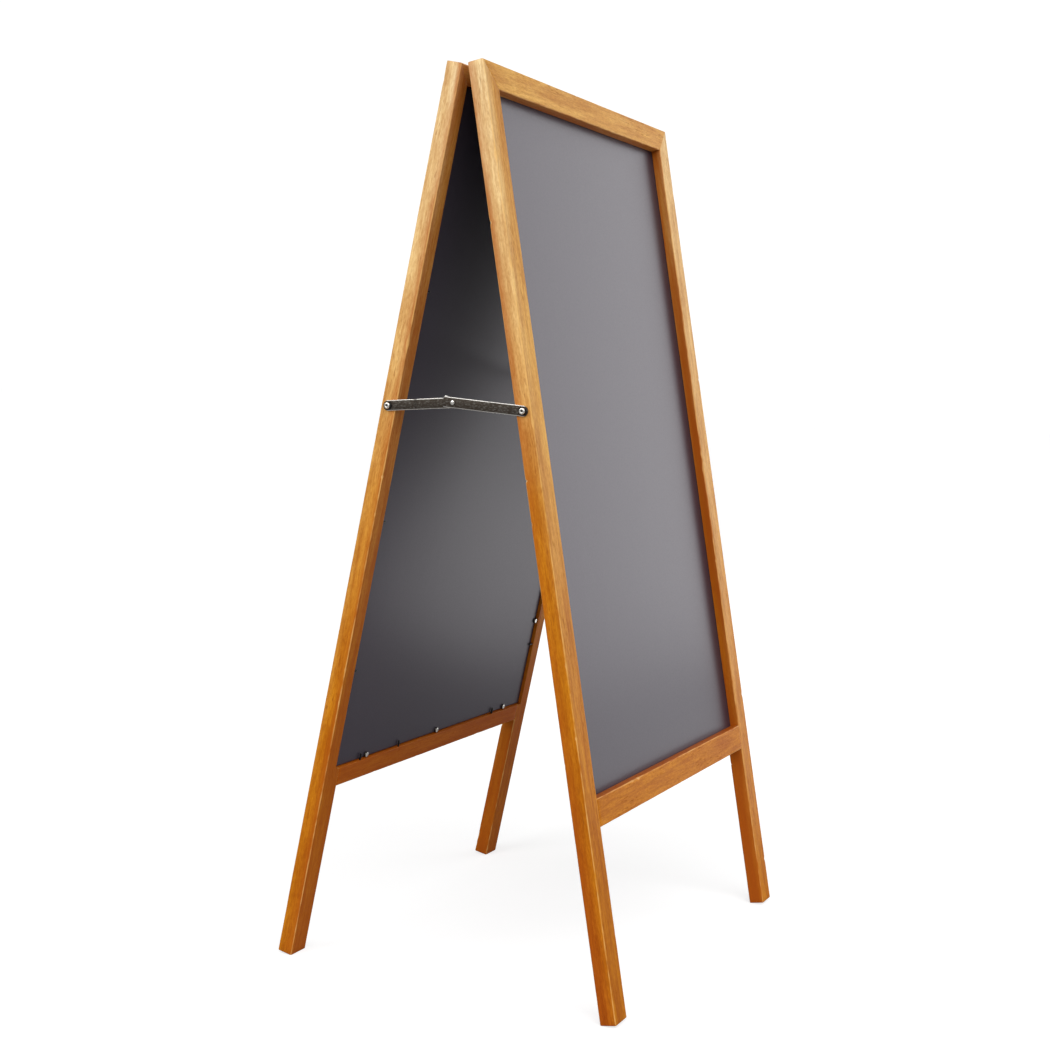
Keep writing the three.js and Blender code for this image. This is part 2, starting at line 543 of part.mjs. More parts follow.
// sideNames names the frame's own -X and +X sides as the whole board's left or right
function frame(name, sideNames, holdsPin) {
  const group = new THREE.Group();
  const screws = panelScrewPlaces();
  const pins = panelPinPlaces();
  const holes = [...pinHoles(pins), ...panelScrewHoles(screws)];
  const sides = [[-1, sideNames[0]], [1, sideNames[1]]];

  for (const [side, sideName] of sides) {
    group.add(piece(`${name}_${sideName}_stile`, cutAll(stile(side), holes), stainedWood));
    group.add(piece(`${sideName}_stay_${name}_washer`, stayWasher(side, side * HALF_WIDTH), blackedSteel));
    group.add(piece(`${sideName}_stay_${name}_screw`, stayScrew(side, side * HALF_WIDTH), platedSteel));
    group.add(piece(`${sideName}_hinge_${name}_leaf`, hingeLeaf(side, holdsPin), platedSteel));
    if (holdsPin) group.add(piece(`${sideName}_hinge_pin`, hingePin(side), platedSteel));
  }
  group.add(piece(`${name}_top_rail`, topRail(), stainedWood));
  group.add(piece(`${name}_bottom_rail`, cutAll(bottomRail(), holes), stainedWood));
  group.add(piece(`${name}_chalkboard`, chalkboard(), chalkboardPaint));
  screws.forEach((place, i) => {
    group.add(piece(`${name}_panel_screw_${i + 1}`, panelScrew(place), platedSteel));
  });
  pins.forEach((place, i) => {
    group.add(piece(`${name}_panel_pin_${i + 1}`, panelPin(place), blackedSteel));
  });
  hingeScrewPlaces().forEach((place) => {
    const hingeName = sideNames[place.hinge < 0 ? 0 : 1];
    const number = place.end < 0 ? 1 : 2;
    group.add(piece(`${hingeName}_hinge_${name}_screw_${number}`, hingeScrew(place), platedSteel));
  });
  return group;
}

function stay(sideName) {
  const side = sideName === "left" ? -1 : 1;
  const forSide = (solid) => (side < 0 ? solid : mirrored(solid));
  const group = new THREE.Group();
  group.position.set(side * HALF_WIDTH, 0, STAY_SCREW_Z);

  const front = new THREE.Group();
  front.position.y = -STAY_SCREW_Y;
  front.rotation.x = LINK_SLOPE;
  front.add(piece(`${sideName}_stay_front_link`, forSide(frontLink()), platedSteel));
  front.add(piece(`${sideName}_stay_rivet`, forSide(kneeRivet()), platedSteel));

  // the back link is drawn the same way, and turned half round to come from the other side
  const back = new THREE.Group();
  back.position.y = STAY_SCREW_Y;
  back.rotation.set(-LINK_SLOPE, 0, Math.PI, "XYZ");
  const turnedBack = side < 0 ? mirrored(backLink()) : backLink();
  back.add(piece(`${sideName}_stay_back_link`, turnedBack, platedSteel));

  group.add(front, back);
  return group;
}

const board = new THREE.Group();

const frontLean = new THREE.Group();
frontLean.position.set(0, -INNER_CORNER_Y, INNER_CORNER_HEIGHT);
frontLean.rotation.x = -LEAN;
frontLean.add(frame("front", ["left", "right"], true));

const backTurn = new THREE.Group();
backTurn.rotation.z = Math.PI;
const backLean = new THREE.Group();
backLean.position.set(0, -INNER_CORNER_Y, INNER_CORNER_HEIGHT);
backLean.rotation.x = -LEAN;
backLean.add(frame("back", ["right", "left"], false));
backTurn.add(backLean);

board.add(frontLean, backTurn, stay("left"), stay("right"));

export default board;
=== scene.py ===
"""Looks for a folding sandwich board: stained wooden frames, chalkboards, panel fixings, hinges and stays."""

import json
import math

import bmesh
import bpy
import numpy as np
from mathutils import Matrix, Vector


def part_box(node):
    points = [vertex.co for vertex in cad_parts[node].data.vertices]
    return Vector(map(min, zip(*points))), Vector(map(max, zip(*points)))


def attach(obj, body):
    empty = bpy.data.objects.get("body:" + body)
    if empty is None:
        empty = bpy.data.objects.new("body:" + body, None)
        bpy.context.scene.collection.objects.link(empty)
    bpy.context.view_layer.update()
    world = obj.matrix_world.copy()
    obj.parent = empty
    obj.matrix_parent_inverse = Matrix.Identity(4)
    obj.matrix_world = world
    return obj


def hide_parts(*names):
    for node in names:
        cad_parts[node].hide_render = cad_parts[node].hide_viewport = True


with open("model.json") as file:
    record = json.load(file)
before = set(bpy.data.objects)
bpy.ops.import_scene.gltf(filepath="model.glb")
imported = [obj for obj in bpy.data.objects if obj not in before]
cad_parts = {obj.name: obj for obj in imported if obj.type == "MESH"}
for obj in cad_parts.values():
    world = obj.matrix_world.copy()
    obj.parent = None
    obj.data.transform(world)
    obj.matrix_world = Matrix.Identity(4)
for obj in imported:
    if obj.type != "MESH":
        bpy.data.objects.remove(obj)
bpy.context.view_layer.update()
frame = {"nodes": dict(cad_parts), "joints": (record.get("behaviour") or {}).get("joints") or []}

bl_info = {
    "name": "Sandwich Board",
    "version": (1, 0, 0),
    "blender": (4, 5, 0),
    "location": "View3D > Sidebar > Sandwich Board",
    "description": "Makes a folding sandwich board's stained wood, chalkboards and steel fittings",
    "category": "Add Mesh",
}

MM = 0.001
FRAMES = ("front", "back")
SIDES = ("left", "right")


# ---------------------------------------------------------------- settings

def colour_setting(name, description, default):
    return bpy.props.FloatVectorProperty(
        name=name, description=description, default=default, min=0, max=1, size=3, subtype="COLOR")


def roughness_setting(name, description, default):
    return bpy.props.FloatProperty(
        name=name, description=description, default=default, min=0.05, max=1, subtype="FACTOR")


def power_setting(name, description, default):
    return bpy.props.FloatProperty(name=name, description=description, default=default, min=0, unit="POWER")


def turn_setting(name, description, degrees):
    return bpy.props.FloatProperty(
        name=name, description=description, default=math.radians(degrees), unit="ROTATION")


class WoodSettings(bpy.types.PropertyGroup):
    """Sizes and colours of the stained wood"""

    arris_radius: bpy.props.FloatProperty(
        name="Arris Radius", description="Rounding of the members' long edges",
        default=1.8 * MM, min=0.5 * MM, max=4 * MM, unit="LENGTH")
    knocks_per_metre: bpy.props.FloatProperty(
        name="Knocks per Metre", description="How many knocks each metre of an arris has taken",
        default=4, min=0, max=40)
    # Painted light: the stain is painted lighter towards the top and darker towards the feet, as if light
    # falls from above.
    top_lit_stain: colour_setting(
        "Light Stain", "Honey colour at the top of the board, which daylight has faded", (0.76, 0.42, 0.098))
    warm_stain: colour_setting("Warm Stain", "Golden colour half way down", (0.62, 0.228, 0.010))
    foot_shaded_stain: colour_setting("Deep Stain", "Amber colour near the feet", (0.51, 0.132, 0.008))
    fleck_colour: colour_setting(
        "Flecks", "Colour of the stain that sits in the open pores", (0.21, 0.042, 0.006))
    # Partly wear, partly painted highlight: the pale line along the arrises stands for rubbed stain and for
    # the light that the rounded arrises catch.
    rubbed_and_lit_arris: colour_setting(
        "Rubbed Wood", "Colour of the arrises, where the stain is rubbed thin", (0.84, 0.50, 0.17))
    # Painted sheen: this pale colour, painted on the outer sides near the top and on outward faces, stands
    # for the light's sheen there.
    painted_sheen_colour: colour_setting(
        "Bleached Stain", "Colour of the sides where daylight has bleached them most", (0.90, 0.70, 0.38))
    # Painted shade: this dark colour, on the inner sides and in the rebate, stands for the shade in those
    # recesses.
    painted_shade_colour: colour_setting(
        "Pooled Stain", "Colour of the inner sides, where the stain has pooled", (0.38, 0.078, 0.006))
    bare_wood: colour_setting(
        "Bare Wood", "Colour of the wood where the stain is knocked off", (0.70, 0.46, 0.24))
    roughness: roughness_setting("Lacquer Roughness", "Roughness of the lacquer between the pores", 0.46)


class ChalkboardSettings(bpy.types.PropertyGroup):
    """Colour and sheen of the writing surface"""

    paint: colour_setting("Paint", "Colour of the chalkboard paint", (0.036, 0.0295, 0.0435))
    chalk_dust: colour_setting("Chalk Dust", "Colour of the dust left by wiping", (0.11, 0.108, 0.112))
    roughness: roughness_setting("Paint Roughness", "Roughness of the satin paint", 0.32)


class SteelSettings(bpy.types.PropertyGroup):
    """Colours of the steel fittings"""

    # The plated colour also paints highlights on the straps' edges and on the tops of the rivets and panel
    # screws.
    plated: colour_setting(
        "Plated Steel", "Colour of the nickel-plated screws, hinges and rubbed edges", (0.88, 0.86, 0.81))
    strap: colour_setting(
        "Tarnished Steel", "Colour of the tarnished straps, rivets and panel screws", (0.062, 0.051, 0.041))
    blacked: colour_setting(
        "Blacked Steel", "Colour of the blacked washers and pins", (0.008, 0.0075, 0.007))


class StageSettings(bpy.types.PropertyGroup):
    """Floor, light and camera"""

    floor_colour: colour_setting("Floor", "Colour of the floor", (0.38, 0.38, 0.38))
    floor_glow: bpy.props.FloatProperty(
        name="Floor Glow", description="Brightness that whitens the floor without lighting the board",
        default=0.70, min=0, max=2)
    surround: bpy.props.FloatProperty(
        name="Surround", description="Brightness of the light from all around", default=0.25, min=0, max=10)
    key_light: bpy.props.FloatProperty(
        name="Key Light", description="Strength of the broad light from above the camera",
        default=2.6, min=0, max=20)
    softbox: power_setting("Softbox", "Power of the large softbox on the board's right", 48)
    left_softbox: power_setting("Left Softbox", "Power of the softbox on the board's left", 34)
    bounce_card: power_setting(
        "Bounce Card", "Power of the bright card on the floor at the board's right", 18)
    camera_place: bpy.props.FloatVectorProperty(
        name="Camera Place", description="Where the camera stands",
        default=(-2.0742, -1.0022, 0.7878), size=3, subtype="TRANSLATION", unit="LENGTH")
    camera_heading: turn_setting("Camera Heading", "Direction of view, clockwise from the +Y axis", 63.2)
    camera_tilt: turn_setting("Camera Tilt", "Direction of view above the horizon", -5.04)
    camera_roll: turn_setting("Camera Roll", "Turn of the camera about its direction of view", 1.89)
    lens: bpy.props.FloatProperty(
        name="Lens", description="Focal length, in millimetres, of the 36 mm wide camera",
        default=55.48, min=10, max=300)


# ---------------------------------------------------------------- where the CAD says things are

BOARD_PLAY = 2 * MM  # between the chalkboard's edge and the rebate's wall
BOARD_CLEARANCE = 0.3 * MM  # between the chalkboard's face and the rebate's floor


def joint_named(name):
    return next(joint for joint in frame["joints"] if joint["name"] == name)


LEAN = math.radians(joint_named("fold")["range_deg"][1] / 2)


def cad_corners(node, space):
    """A CAD node's lowest and highest corners in the given space"""
    inverse = space.inverted()
    points = np.array([inverse @ vertex.co for vertex in frame["nodes"][node].data.vertices])
    return Vector(points.min(axis=0)), Vector(points.max(axis=0))


def frame_space(name):
    """A frame's own space, from the middle of its inner top edge: X along the hinge, -Y outwards, Z up"""
    turn = Matrix.Rotation(-LEAN, 4, "X")
    if name == "back":
        turn = Matrix.Rotation(math.pi, 4, "Z") @ turn
    boxes = [cad_corners(f"{name}_{side}_stile", turn) for side in SIDES]
    low_x = min(low.x for low, high in boxes)
    high_x = max(high.x for low, high in boxes)
    low, high = boxes[0]
    return turn @ Matrix.Translation(((low_x + high_x) / 2, high.y, high.z))


def nodes_starting(start):
    return sorted(node for node in frame["nodes"] if node.startswith(start))


class FrameSizes:
    """One frame's sizes, read from its CAD nodes"""

    def __init__(self, name):
        self.space = frame_space(name)
        stiles = [cad_corners(f"{name}_{side}_stile", self.space) for side in SIDES]
        top_low = cad_corners(f"{name}_top_rail", self.space)[0]
        rail_low, rail_high = cad_corners(f"{name}_bottom_rail", self.space)
        board_low, board_high = cad_corners(f"{name}_chalkboard", self.space)
        stile_low, stile_high = min(stiles, key=lambda box: box[0].x)
        self.half_width = -stile_low.x
        self.opening_half = -stile_high.x
        self.stile_face = stile_high.x - stile_low.x
        self.depth = -stile_low.y
        self.length = -stile_low.z
        self.top_rail_face = -top_low.z
        self.rail_top = -rail_high.z
        self.rail_face = rail_high.z - rail_low.z
        self.board_back = -board_high.y
        self.rebate_depth = -board_low.y + BOARD_CLEARANCE
        self.rebate_width = board_high.x + BOARD_PLAY - self.opening_half
        self.rebate_bottom = self.rail_top + self.rebate_width


# ---------------------------------------------------------------- meshes

def waver(rng, where, wavelengths):
    """Smooth seeded waver along a length, within -1 and 1"""
    waves = [np.sin(2 * np.pi * where / wavelength + rng.uniform(0, 2 * np.pi)) for wavelength in wavelengths]
    return sum(waves) / len(waves)


def loft(rings):
    """Points and faces of a closed skin through rings that all have the same number of points"""
    rings = np.asarray(rings, float)
    count, around = rings.shape[:2]
    faces = []
    for i in range(count - 1):
        for j in range(around):
            k = (j + 1) % around
            faces.append((i * around + j, i * around + k, (i + 1) * around + k, (i + 1) * around + j))
    faces.append(tuple(range(around)))
    faces.append(tuple(range((count - 1) * around, count * around)))
    return rings.reshape(-1, 3), faces


def joined(parts):
    """Points and faces of several skins as one"""
    points, faces, start = [], [], 0
    for part_points, part_faces in parts:
        points.append(np.asarray(part_points, float))
        faces += [tuple(start + corner for corner in face) for face in part_faces]
        start += len(part_points)
    return np.concatenate(points), faces


def moved(part, matrix):
    """A skin's points and faces, moved by a matrix"""
    points, faces = part
    matrix = np.array(matrix)
    return np.asarray(points) @ matrix[:3, :3].T + matrix[:3, 3], faces


def turned(profile, segments=48):
    """Skin turned about Z through (radius, height) pairs; a third value gives a ring that many flat sides"""
    angles = np.arange(segments) * 2 * np.pi / segments
    rings = []
    for radius, height, *sides in profile:
        reach = np.full(segments, float(radius))
        if sides:
            step = 2 * np.pi / sides[0]
            reach = radius * math.cos(step / 2) / np.cos((angles + step / 2) % step - step / 2)
        rise = np.full(segments, height)
        rings.append(np.stack([reach * np.cos(angles), reach * np.sin(angles), rise], axis=1))
    return loft(rings)


def pointed_along(direction, origin):
    """Matrix that turns +Z to a direction and moves the origin to a point"""
    turn = Vector((0, 0, 1)).rotation_difference(Vector(direction))
    return Matrix.Translation(origin) @ turn.to_matrix().to_4x4()


def arc(across, up, radius, start, steps):
    """Points of a quarter circle about a centre, from an angle in degrees"""
    angles = [math.radians(start + 90 * i / steps) for i in range(steps + 1)]
    return [(across + radius * math.cos(angle), up + radius * math.sin(angle)) for angle in angles]


def rounded_rectangle(low, high, corner, inset, steps):
    """Outline between two corners, with round corners, moved inwards by an inset"""
    centres = [(high[0] - corner, high[1] - corner), (low[0] + corner, high[1] - corner),
               (low[0] + corner, low[1] + corner), (high[0] - corner, low[1] + corner)]
    outline = []
    for i, centre in enumerate(centres):
        outline += arc(*centre, corner - inset, 90 * i, steps)
    return outline


def axes_of(x_axis, y_axis, z_axis):
    """Matrix with the given axes"""
    return Matrix((x_axis, y_axis, z_axis)).transposed().to_4x4()


def in_scene(name, data):
    """A new object in the scene"""
    thing = bpy.data.objects.new(name, data)
    bpy.context.scene.collection.objects.link(thing)
    return thing


SMOOTH_ANGLE = math.radians(32)  # below which the shading runs on over an edge


def make_piece(name, part, finish, space, body, stands_for=(), point_values=None):
    """An object made of a skin that is given in a space, riding on a body and standing for CAD nodes"""
    points, faces = part
    mesh = bpy.data.meshes.new(name)
    mesh.from_pydata([tuple(point) for point in points], [], faces)
    for value_name, values in (point_values or {}).items():
        attribute = mesh.attributes.new(value_name, "FLOAT", "POINT")
        attribute.data.foreach_set("value", np.asarray(values, np.float32))
    shell = bmesh.new()
    shell.from_mesh(mesh)
    bmesh.ops.recalc_face_normals(shell, faces=shell.faces)
    shell.to_mesh(mesh)
    shell.free()
    mesh.shade_smooth()
    mesh.set_sharp_from_angle(angle=SMOOTH_ANGLE)
    mesh.materials.append(finish_named(finish))
    piece = in_scene(name, mesh)
    piece.matrix_world = space
    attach(piece, body)
    if stands_for:
        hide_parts(*stands_for)


# ---------------------------------------------------------------- materials

class Finish:
    """A material's node tree, with short calls that add nodes"""

    def __init__(self, name):
        self.material = bpy.data.materials.new(name)
        self.material.use_nodes = True
        self.tree = self.material.node_tree
        self.surface = self.tree.nodes["Principled BSDF"]

    def set(self, **values):
        sockets = {
            "colour": "Base Color", "metallic": "Metallic", "roughness": "Roughness",
            "gloss": "Specular IOR Level", "sheen": "Specular Tint", "normal": "Normal"}
        for name, value in values.items():
            self.plug(self.surface.inputs[sockets[name]], value)

    def plug(self, socket, value):
        if isinstance(value, bpy.types.NodeSocket):
            self.tree.links.new(value, socket)
        elif socket.type == "RGBA":
            socket.default_value = (*value[:3], 1)
        else:
            socket.default_value = value

    def node(self, kind, inputs, output=0, **settings):
        node = self.tree.nodes.new("ShaderNode" + kind)
        for name, value in settings.items():
            setattr(node, name, value)
        for socket, value in inputs.items():
            self.plug(node.inputs[socket], value)
        return node.outputs[output]

    def place(self):
        return self.node("TexCoord", {}, "Object")

    def point_value(self, name):
        return self.node("Attribute", {}, "Fac", attribute_name=name)

    def shifted(self, vector, amount, step):
        step = self.node("VectorMath", {0: step, "Scale": amount}, operation="SCALE")
        return self.node("VectorMath", {0: vector, 1: step}, operation="ADD")

    def noise(self, place, scale, detail, roughness, distortion=0):
        """Noise with one scale, or with a scale for each axis"""
        scale = scale if isinstance(scale, tuple) else (scale, scale, scale)
        stretched = self.node("VectorMath", {0: place, 1: scale}, operation="MULTIPLY")
        return self.node("TexNoise", {
            "Vector": stretched, "Scale": 1, "Detail": detail, "Roughness": roughness,
            "Distortion": distortion})

    def between(self, value, low, high, start=0, end=1):
        """A value's smooth way from start, at or below low, to end, at or above high"""
        return self.node("MapRange", {
            "Value": value, "From Min": low, "From Max": high, "To Min": start, "To Max": end,
        }, interpolation_type="SMOOTHSTEP")

    def maths(self, operation, first, second):
        return self.node("Math", {0: first, 1: second}, operation=operation)

    def mixed(self, amount, first, second, blend="MIX"):
        return self.node("Mix", {0: amount, 6: first, 7: second}, 2, data_type="RGBA", blend_type=blend)

    def bumped(self, height, strength, distance, normal=None):
        inputs = {"Height": height, "Strength": strength, "Distance": distance}
        if normal:
            inputs["Normal"] = normal
        return self.node("Bump", inputs)


def stained_wood(settings):
    """Stained and lacquered hardwood with its grain along the object's Z axis; its colour also carries
    painted light: lighter towards the top, a painted sheen on the outer sides, painted shade on the inner
    sides and in the rebate, and a painted highlight along the arrises
    """
    wood = Finish("Stained Wood")
    place = wood.shifted(wood.place(), wood.point_value("grain_shift"), (0.37, 0.21, 1.3))
    tone = wood.point_value("tone")
    wear = wood.point_value("wear")

    figure = wood.noise(place, (52, 52, 5), 4, 0.6, 0.3)
    streaks = wood.noise(place, (260, 260, 17), 4, 0.65)
    fibres = wood.noise(place, (900, 900, 44), 3, 0.6)
    blotches = wood.noise(place, (70, 70, 16), 3, 0.6, 0.2)
    mottle = wood.noise(place, (480, 480, 150), 3, 0.6)
    flecks = wood.between(wood.noise(place, (620, 620, 75), 1.5, 0.5), 0.60, 0.70)
    fleck_bands = wood.between(wood.noise(place, (60, 60, 8), 2, 0.5), 0.38, 0.66)
    flecks = wood.maths("MULTIPLY", flecks, fleck_bands)

    # Painted light: lighter towards the top of the board and darker towards the feet.
    stain_and_painted_light = wood.mixed(wood.between(tone, 0.15, 0.55), settings.top_lit_stain, settings.warm_stain)
    stain_and_painted_light = wood.mixed(wood.between(tone, 0.50, 1.0), stain_and_painted_light, settings.foot_shaded_stain)
    # Painted sheen: the outer sides near the top, and some outward faces, are painted paler.
    stain_and_painted_light = wood.mixed(wood.point_value("bleached"), stain_and_painted_light, settings.painted_sheen_colour)
    for pattern, low, high, most, tint in (
            (figure, 0.35, 0.66, 0.60, (0.66, 0.46, 0.28)), (streaks, 0.40, 0.66, 0.42, (0.66, 0.47, 0.33)),
            (fibres, 0.30, 0.70, 0.35, (0.70, 0.54, 0.42)), (mottle, 0.38, 0.64, 0.40, (0.68, 0.50, 0.36)),
            (blotches, 0.38, 0.62, 0.65, (1.12, 1.24, 1.40))):
        stain_and_painted_light = wood.mixed(wood.between(pattern, low, high, 0.0, most), stain_and_painted_light, tint, "MULTIPLY")
    stain_and_painted_light = wood.mixed(wood.maths("MULTIPLY", flecks, 0.55), stain_and_painted_light, settings.fleck_colour)
    # Painted shade: the inner sides and the rebate are painted darker.
    pooled = wood.maths("MULTIPLY", wood.point_value("pooled"), wood.between(figure, 0.2, 0.75, 0.55, 1.0))
    stain_and_painted_light = wood.mixed(pooled, stain_and_painted_light, settings.painted_shade_colour)

    # Partly wear, partly painted highlight: a pale line along the arrises, for rubbed stain and for the light
    # that the rounded arrises catch.
    rubbed = wood.maths("MULTIPLY", wood.between(wear, 0.10, 0.60, 0.0, 0.58),
                        wood.between(streaks, 0.25, 0.6, 0.55, 1.0))
    stain_and_painted_light = wood.mixed(rubbed, stain_and_painted_light, settings.rubbed_and_lit_arris)
    stain_and_painted_light = wood.mixed(wood.between(wood.maths("ADD", wear, wood.between(fibres, 0.3, 0.7, -0.12, 0.12)),
                                    0.86, 0.98), stain_and_painted_light, settings.bare_wood)

    height = wood.maths("SUBTRACT", wood.maths("MULTIPLY", fibres, 0.35), flecks)
    height = wood.maths("ADD", height, wood.maths("MULTIPLY", streaks, 0.5))
    wood.set(
        colour=stain_and_painted_light, gloss=0.05,
        roughness=wood.between(wood.maths("ADD", fibres, flecks), 0.3, 1.3,
                               settings.roughness - 0.05, settings.roughness + 0.25),
        normal=wood.bumped(height, 0.5, 0.12 * MM))
    return wood.material


def chalkboard_paint(settings):
    """Dark grey satin paint with a fine roller texture and a trace of wiped chalk"""
    paint = Finish("Chalkboard Paint")
    place = paint.place()
    roller = paint.noise(place, 1400, 2, 0.5)
    grit = paint.noise(place, 420, 3, 0.6)
    wipes = paint.noise(place, (26, 26, 5), 4, 0.6, 0.8)
    clouds = paint.noise(place, (5, 5, 3.5), 3, 0.5)
    dust = paint.maths("MULTIPLY", paint.between(wipes, 0.42, 0.72), paint.between(clouds, 0.35, 0.7))
    colour = paint.mixed(paint.maths("MULTIPLY", dust, 0.08), settings.paint, settings.chalk_dust)
    colour = paint.mixed(paint.between(grit, 0.35, 0.68, 0.0, 0.25), colour, (0.72, 0.72, 0.72), "MULTIPLY")
    paint.set(
        colour=colour, gloss=0.40, sheen=(0.98, 0.90, 1.0),
        roughness=paint.between(paint.maths("ADD", paint.maths("MULTIPLY", dust, 0.12), grit), 0.2, 0.9,
                                settings.roughness - 0.03, settings.roughness + 0.05),
        normal=paint.bumped(roller, 0.25, 0.05 * MM))
    return paint.material


def tarnished_strap(settings):
    """Tarnished nickel-plated steel of the straps, rivets and panel screws, with painted highlights in the
    plated colour along the straps' edges and on the tops of the rivet and screw heads
    """
    strap = Finish("Tarnished Strap")
    place = strap.place()
    brushed = strap.noise(place, (1500, 60, 1500), 3, 0.6)
    tarnish = strap.noise(place, (620, 260, 620), 4, 0.6)
    # Painted highlight: the straps' edges and the tops of the rivet and panel screw heads are painted in the
    # bright plated colour.
    rim = strap.between(strap.maths("ABSOLUTE", strap.point_value("rubbing"), 0), 0.80, 0.98)
    spots = strap.noise(place, 900, 2, 0.5)
    colour = strap.mixed(strap.between(tarnish, 0.45, 0.70, 0.0, 0.12), settings.strap, settings.plated)
    colour = strap.mixed(strap.between(spots, 0.58, 0.70, 0.0, 0.5), colour, (0.07, 0.05, 0.035))
    worn = strap.between(brushed, 0.35, 0.65, 0.0, 0.45)
    colour = strap.mixed(worn, colour, (0.50, 0.46, 0.42), "MULTIPLY")
    colour = strap.mixed(strap.maths("MULTIPLY", rim, 0.9), colour, settings.plated)
    strap.set(
        colour=colour, metallic=1.0,
        roughness=strap.between(strap.maths("ADD", tarnish, rim), 0.4, 1.6, 0.50, 0.26),
        normal=strap.bumped(strap.maths("ADD", brushed, tarnish), 0.35, 0.06 * MM))
    return strap.material


def plated_steel(settings):
    """Bright plated steel with fine handling marks"""
    steel = Finish("Plated Steel")
    place = steel.place()
    marks = steel.noise(place, 1800, 3, 0.6)
    dulled = steel.noise(place, 320, 3, 0.6)
    colour = steel.mixed(steel.between(dulled, 0.40, 0.66, 0.0, 0.35), settings.plated, (0.42, 0.38, 0.33))
    steel.set(
        colour=colour, metallic=1.0,
        roughness=steel.between(dulled, 0.35, 0.65, 0.20, 0.34),
        normal=steel.bumped(marks, 0.2, 0.03 * MM))
    return steel.material


def blacked_steel(settings):
    """Blacked steel, a little brown where it is rubbed"""
    steel = Finish("Blacked Steel")
    place = steel.place()
    grains = steel.noise(place, 1600, 3, 0.6)
    rubbed = steel.noise(place, 380, 4, 0.6)
    colour = steel.mixed(steel.between(rubbed, 0.56, 0.74, 0.0, 0.4), settings.blacked, (0.060, 0.050, 0.040))
    steel.set(
        colour=colour, metallic=0.6,
        roughness=steel.between(rubbed, 0.35, 0.65, 0.42, 0.30),
        normal=steel.bumped(grains, 0.25, 0.04 * MM))
    return steel.material


def finish_named(name):
    """A material, made when it is first asked for"""
    if name not in bpy.data.materials:
        makers = {
            "Stained Wood": (stained_wood, "board_wood"),
            "Chalkboard Paint": (chalkboard_paint, "board_chalkboard"),
            "Tarnished Strap": (tarnished_strap, "board_steel"),
            "Plated Steel": (plated_steel, "board_steel"),
            "Blacked Steel": (blacked_steel, "board_steel"),
        }
        maker, settings = makers[name]
        maker(getattr(bpy.context.scene, settings))
    return bpy.data.materials[name]


# ---------------------------------------------------------------- wooden frames

ARC_STEPS = 6
CORNER_POINTS = ARC_STEPS + 1  # of an arris, and of the rebate
FLAT_SHARES = (0.02, 0.5, 0.98)  # where the points between two arrises lie, near both to keep the faces flat
OUTWARD_LIGHTENING = 0.36  # share by which the outward faces are painted lighter, as faces that the light falls on
SHARP_ARRIS = 0.5 * MM  # of the rebate, which a cutter leaves sharp
STATION_PITCH = 8 * MM
LEAST_PITCH = 0.45 * MM
WHOLE_LENGTH = (-1, 9)  # span of a rebate that runs from end to end
GLUE_SEAM = 0.06 * MM  # half of a glue line
DEEPENING = 1.6  # how much a chip of a given depth adds to an arris's radius
BARING_DEPTH = 1.1 * MM  # depth of chip that bares the wood
SHADE_ON_SIDE, SHADE_IN_REBATE = 0.95, 0.62  # painted shade on the opening's side and in the rebate
SHADE_SIDE_REACH = 0.05  # share of the depth that counts as the opening's side
# Strength of the painted sheen on the outer sides and on the outward faces
SIDE_SHEEN, FACE_SHEEN = 0.9, 0.5
END_EASING = 110 * MM  # over which stations turn from a mitre's slope to square


def section_outline(face, depth, radii, rebate, inset):
    """
    A member's outline at one station: across from the opening's side and in from the inner face, both at 0.
    Also how far each point is onto an arris.
    """
    points, arris = [], []
    corners = [(face, 0, -90), (face, depth, 0), (0, depth, 90), (0, 0, 180)]
    for (x, y, start), radius in zip(corners, radii):
        if start == 180 and rebate:
            width, floor = rebate
            e = SHARP_ARRIS
            points += [(0, floor + e), (0.3 * e, floor + 0.3 * e), (e, floor), (width, floor),
                       (width, e), (width + 0.3 * e, 0.3 * e), (width + e, 0)]
            arris += [0, 0.7, 0, 0, 0, 0.7, 0]
            continue
        points += arc(abs(x - radius), abs(y - radius), radius, start, ARC_STEPS)
        arris += [math.sin(math.pi * i / ARC_STEPS) for i in range(CORNER_POINTS)]

    outline, onto = [], []
    for first in range(0, len(points), CORNER_POINTS):
        last = first + CORNER_POINTS
        group = points[first:last]
        following = points[last % len(points)]
        outline += group
        onto += arris[first:last]
        for share in FLAT_SHARES:
            outline.append(tuple(np.array(group[-1]) * (1 - share) + np.array(following) * share))
            onto.append(0)
    outline = np.array(outline)
    middle = np.array((face / 2, depth / 2))
    outline = middle + (outline - middle) * (1 - inset / middle)
    return outline, np.array(onto)


class Knocks:
    """Dents and chips along one arris: where each is, how long and how deep"""

    def __init__(self, rng, length, per_metre):
        count = rng.poisson(per_metre * length)
        self.where = rng.uniform(0.01, 0.99, count) * length
        self.reach = rng.uniform(1.2, 4.0, count) * MM * rng.choice([1, 1, 1, 2.2], count)
        self.depth = rng.uniform(0.3, 1.0, count) * MM * rng.choice([0.5, 1, 1, 1.8], count)

    def at(self, station):
        if not len(self.where):
            return 0.0
        return float(np.max(self.depth * np.exp(-((station - self.where) / self.reach) ** 2)))


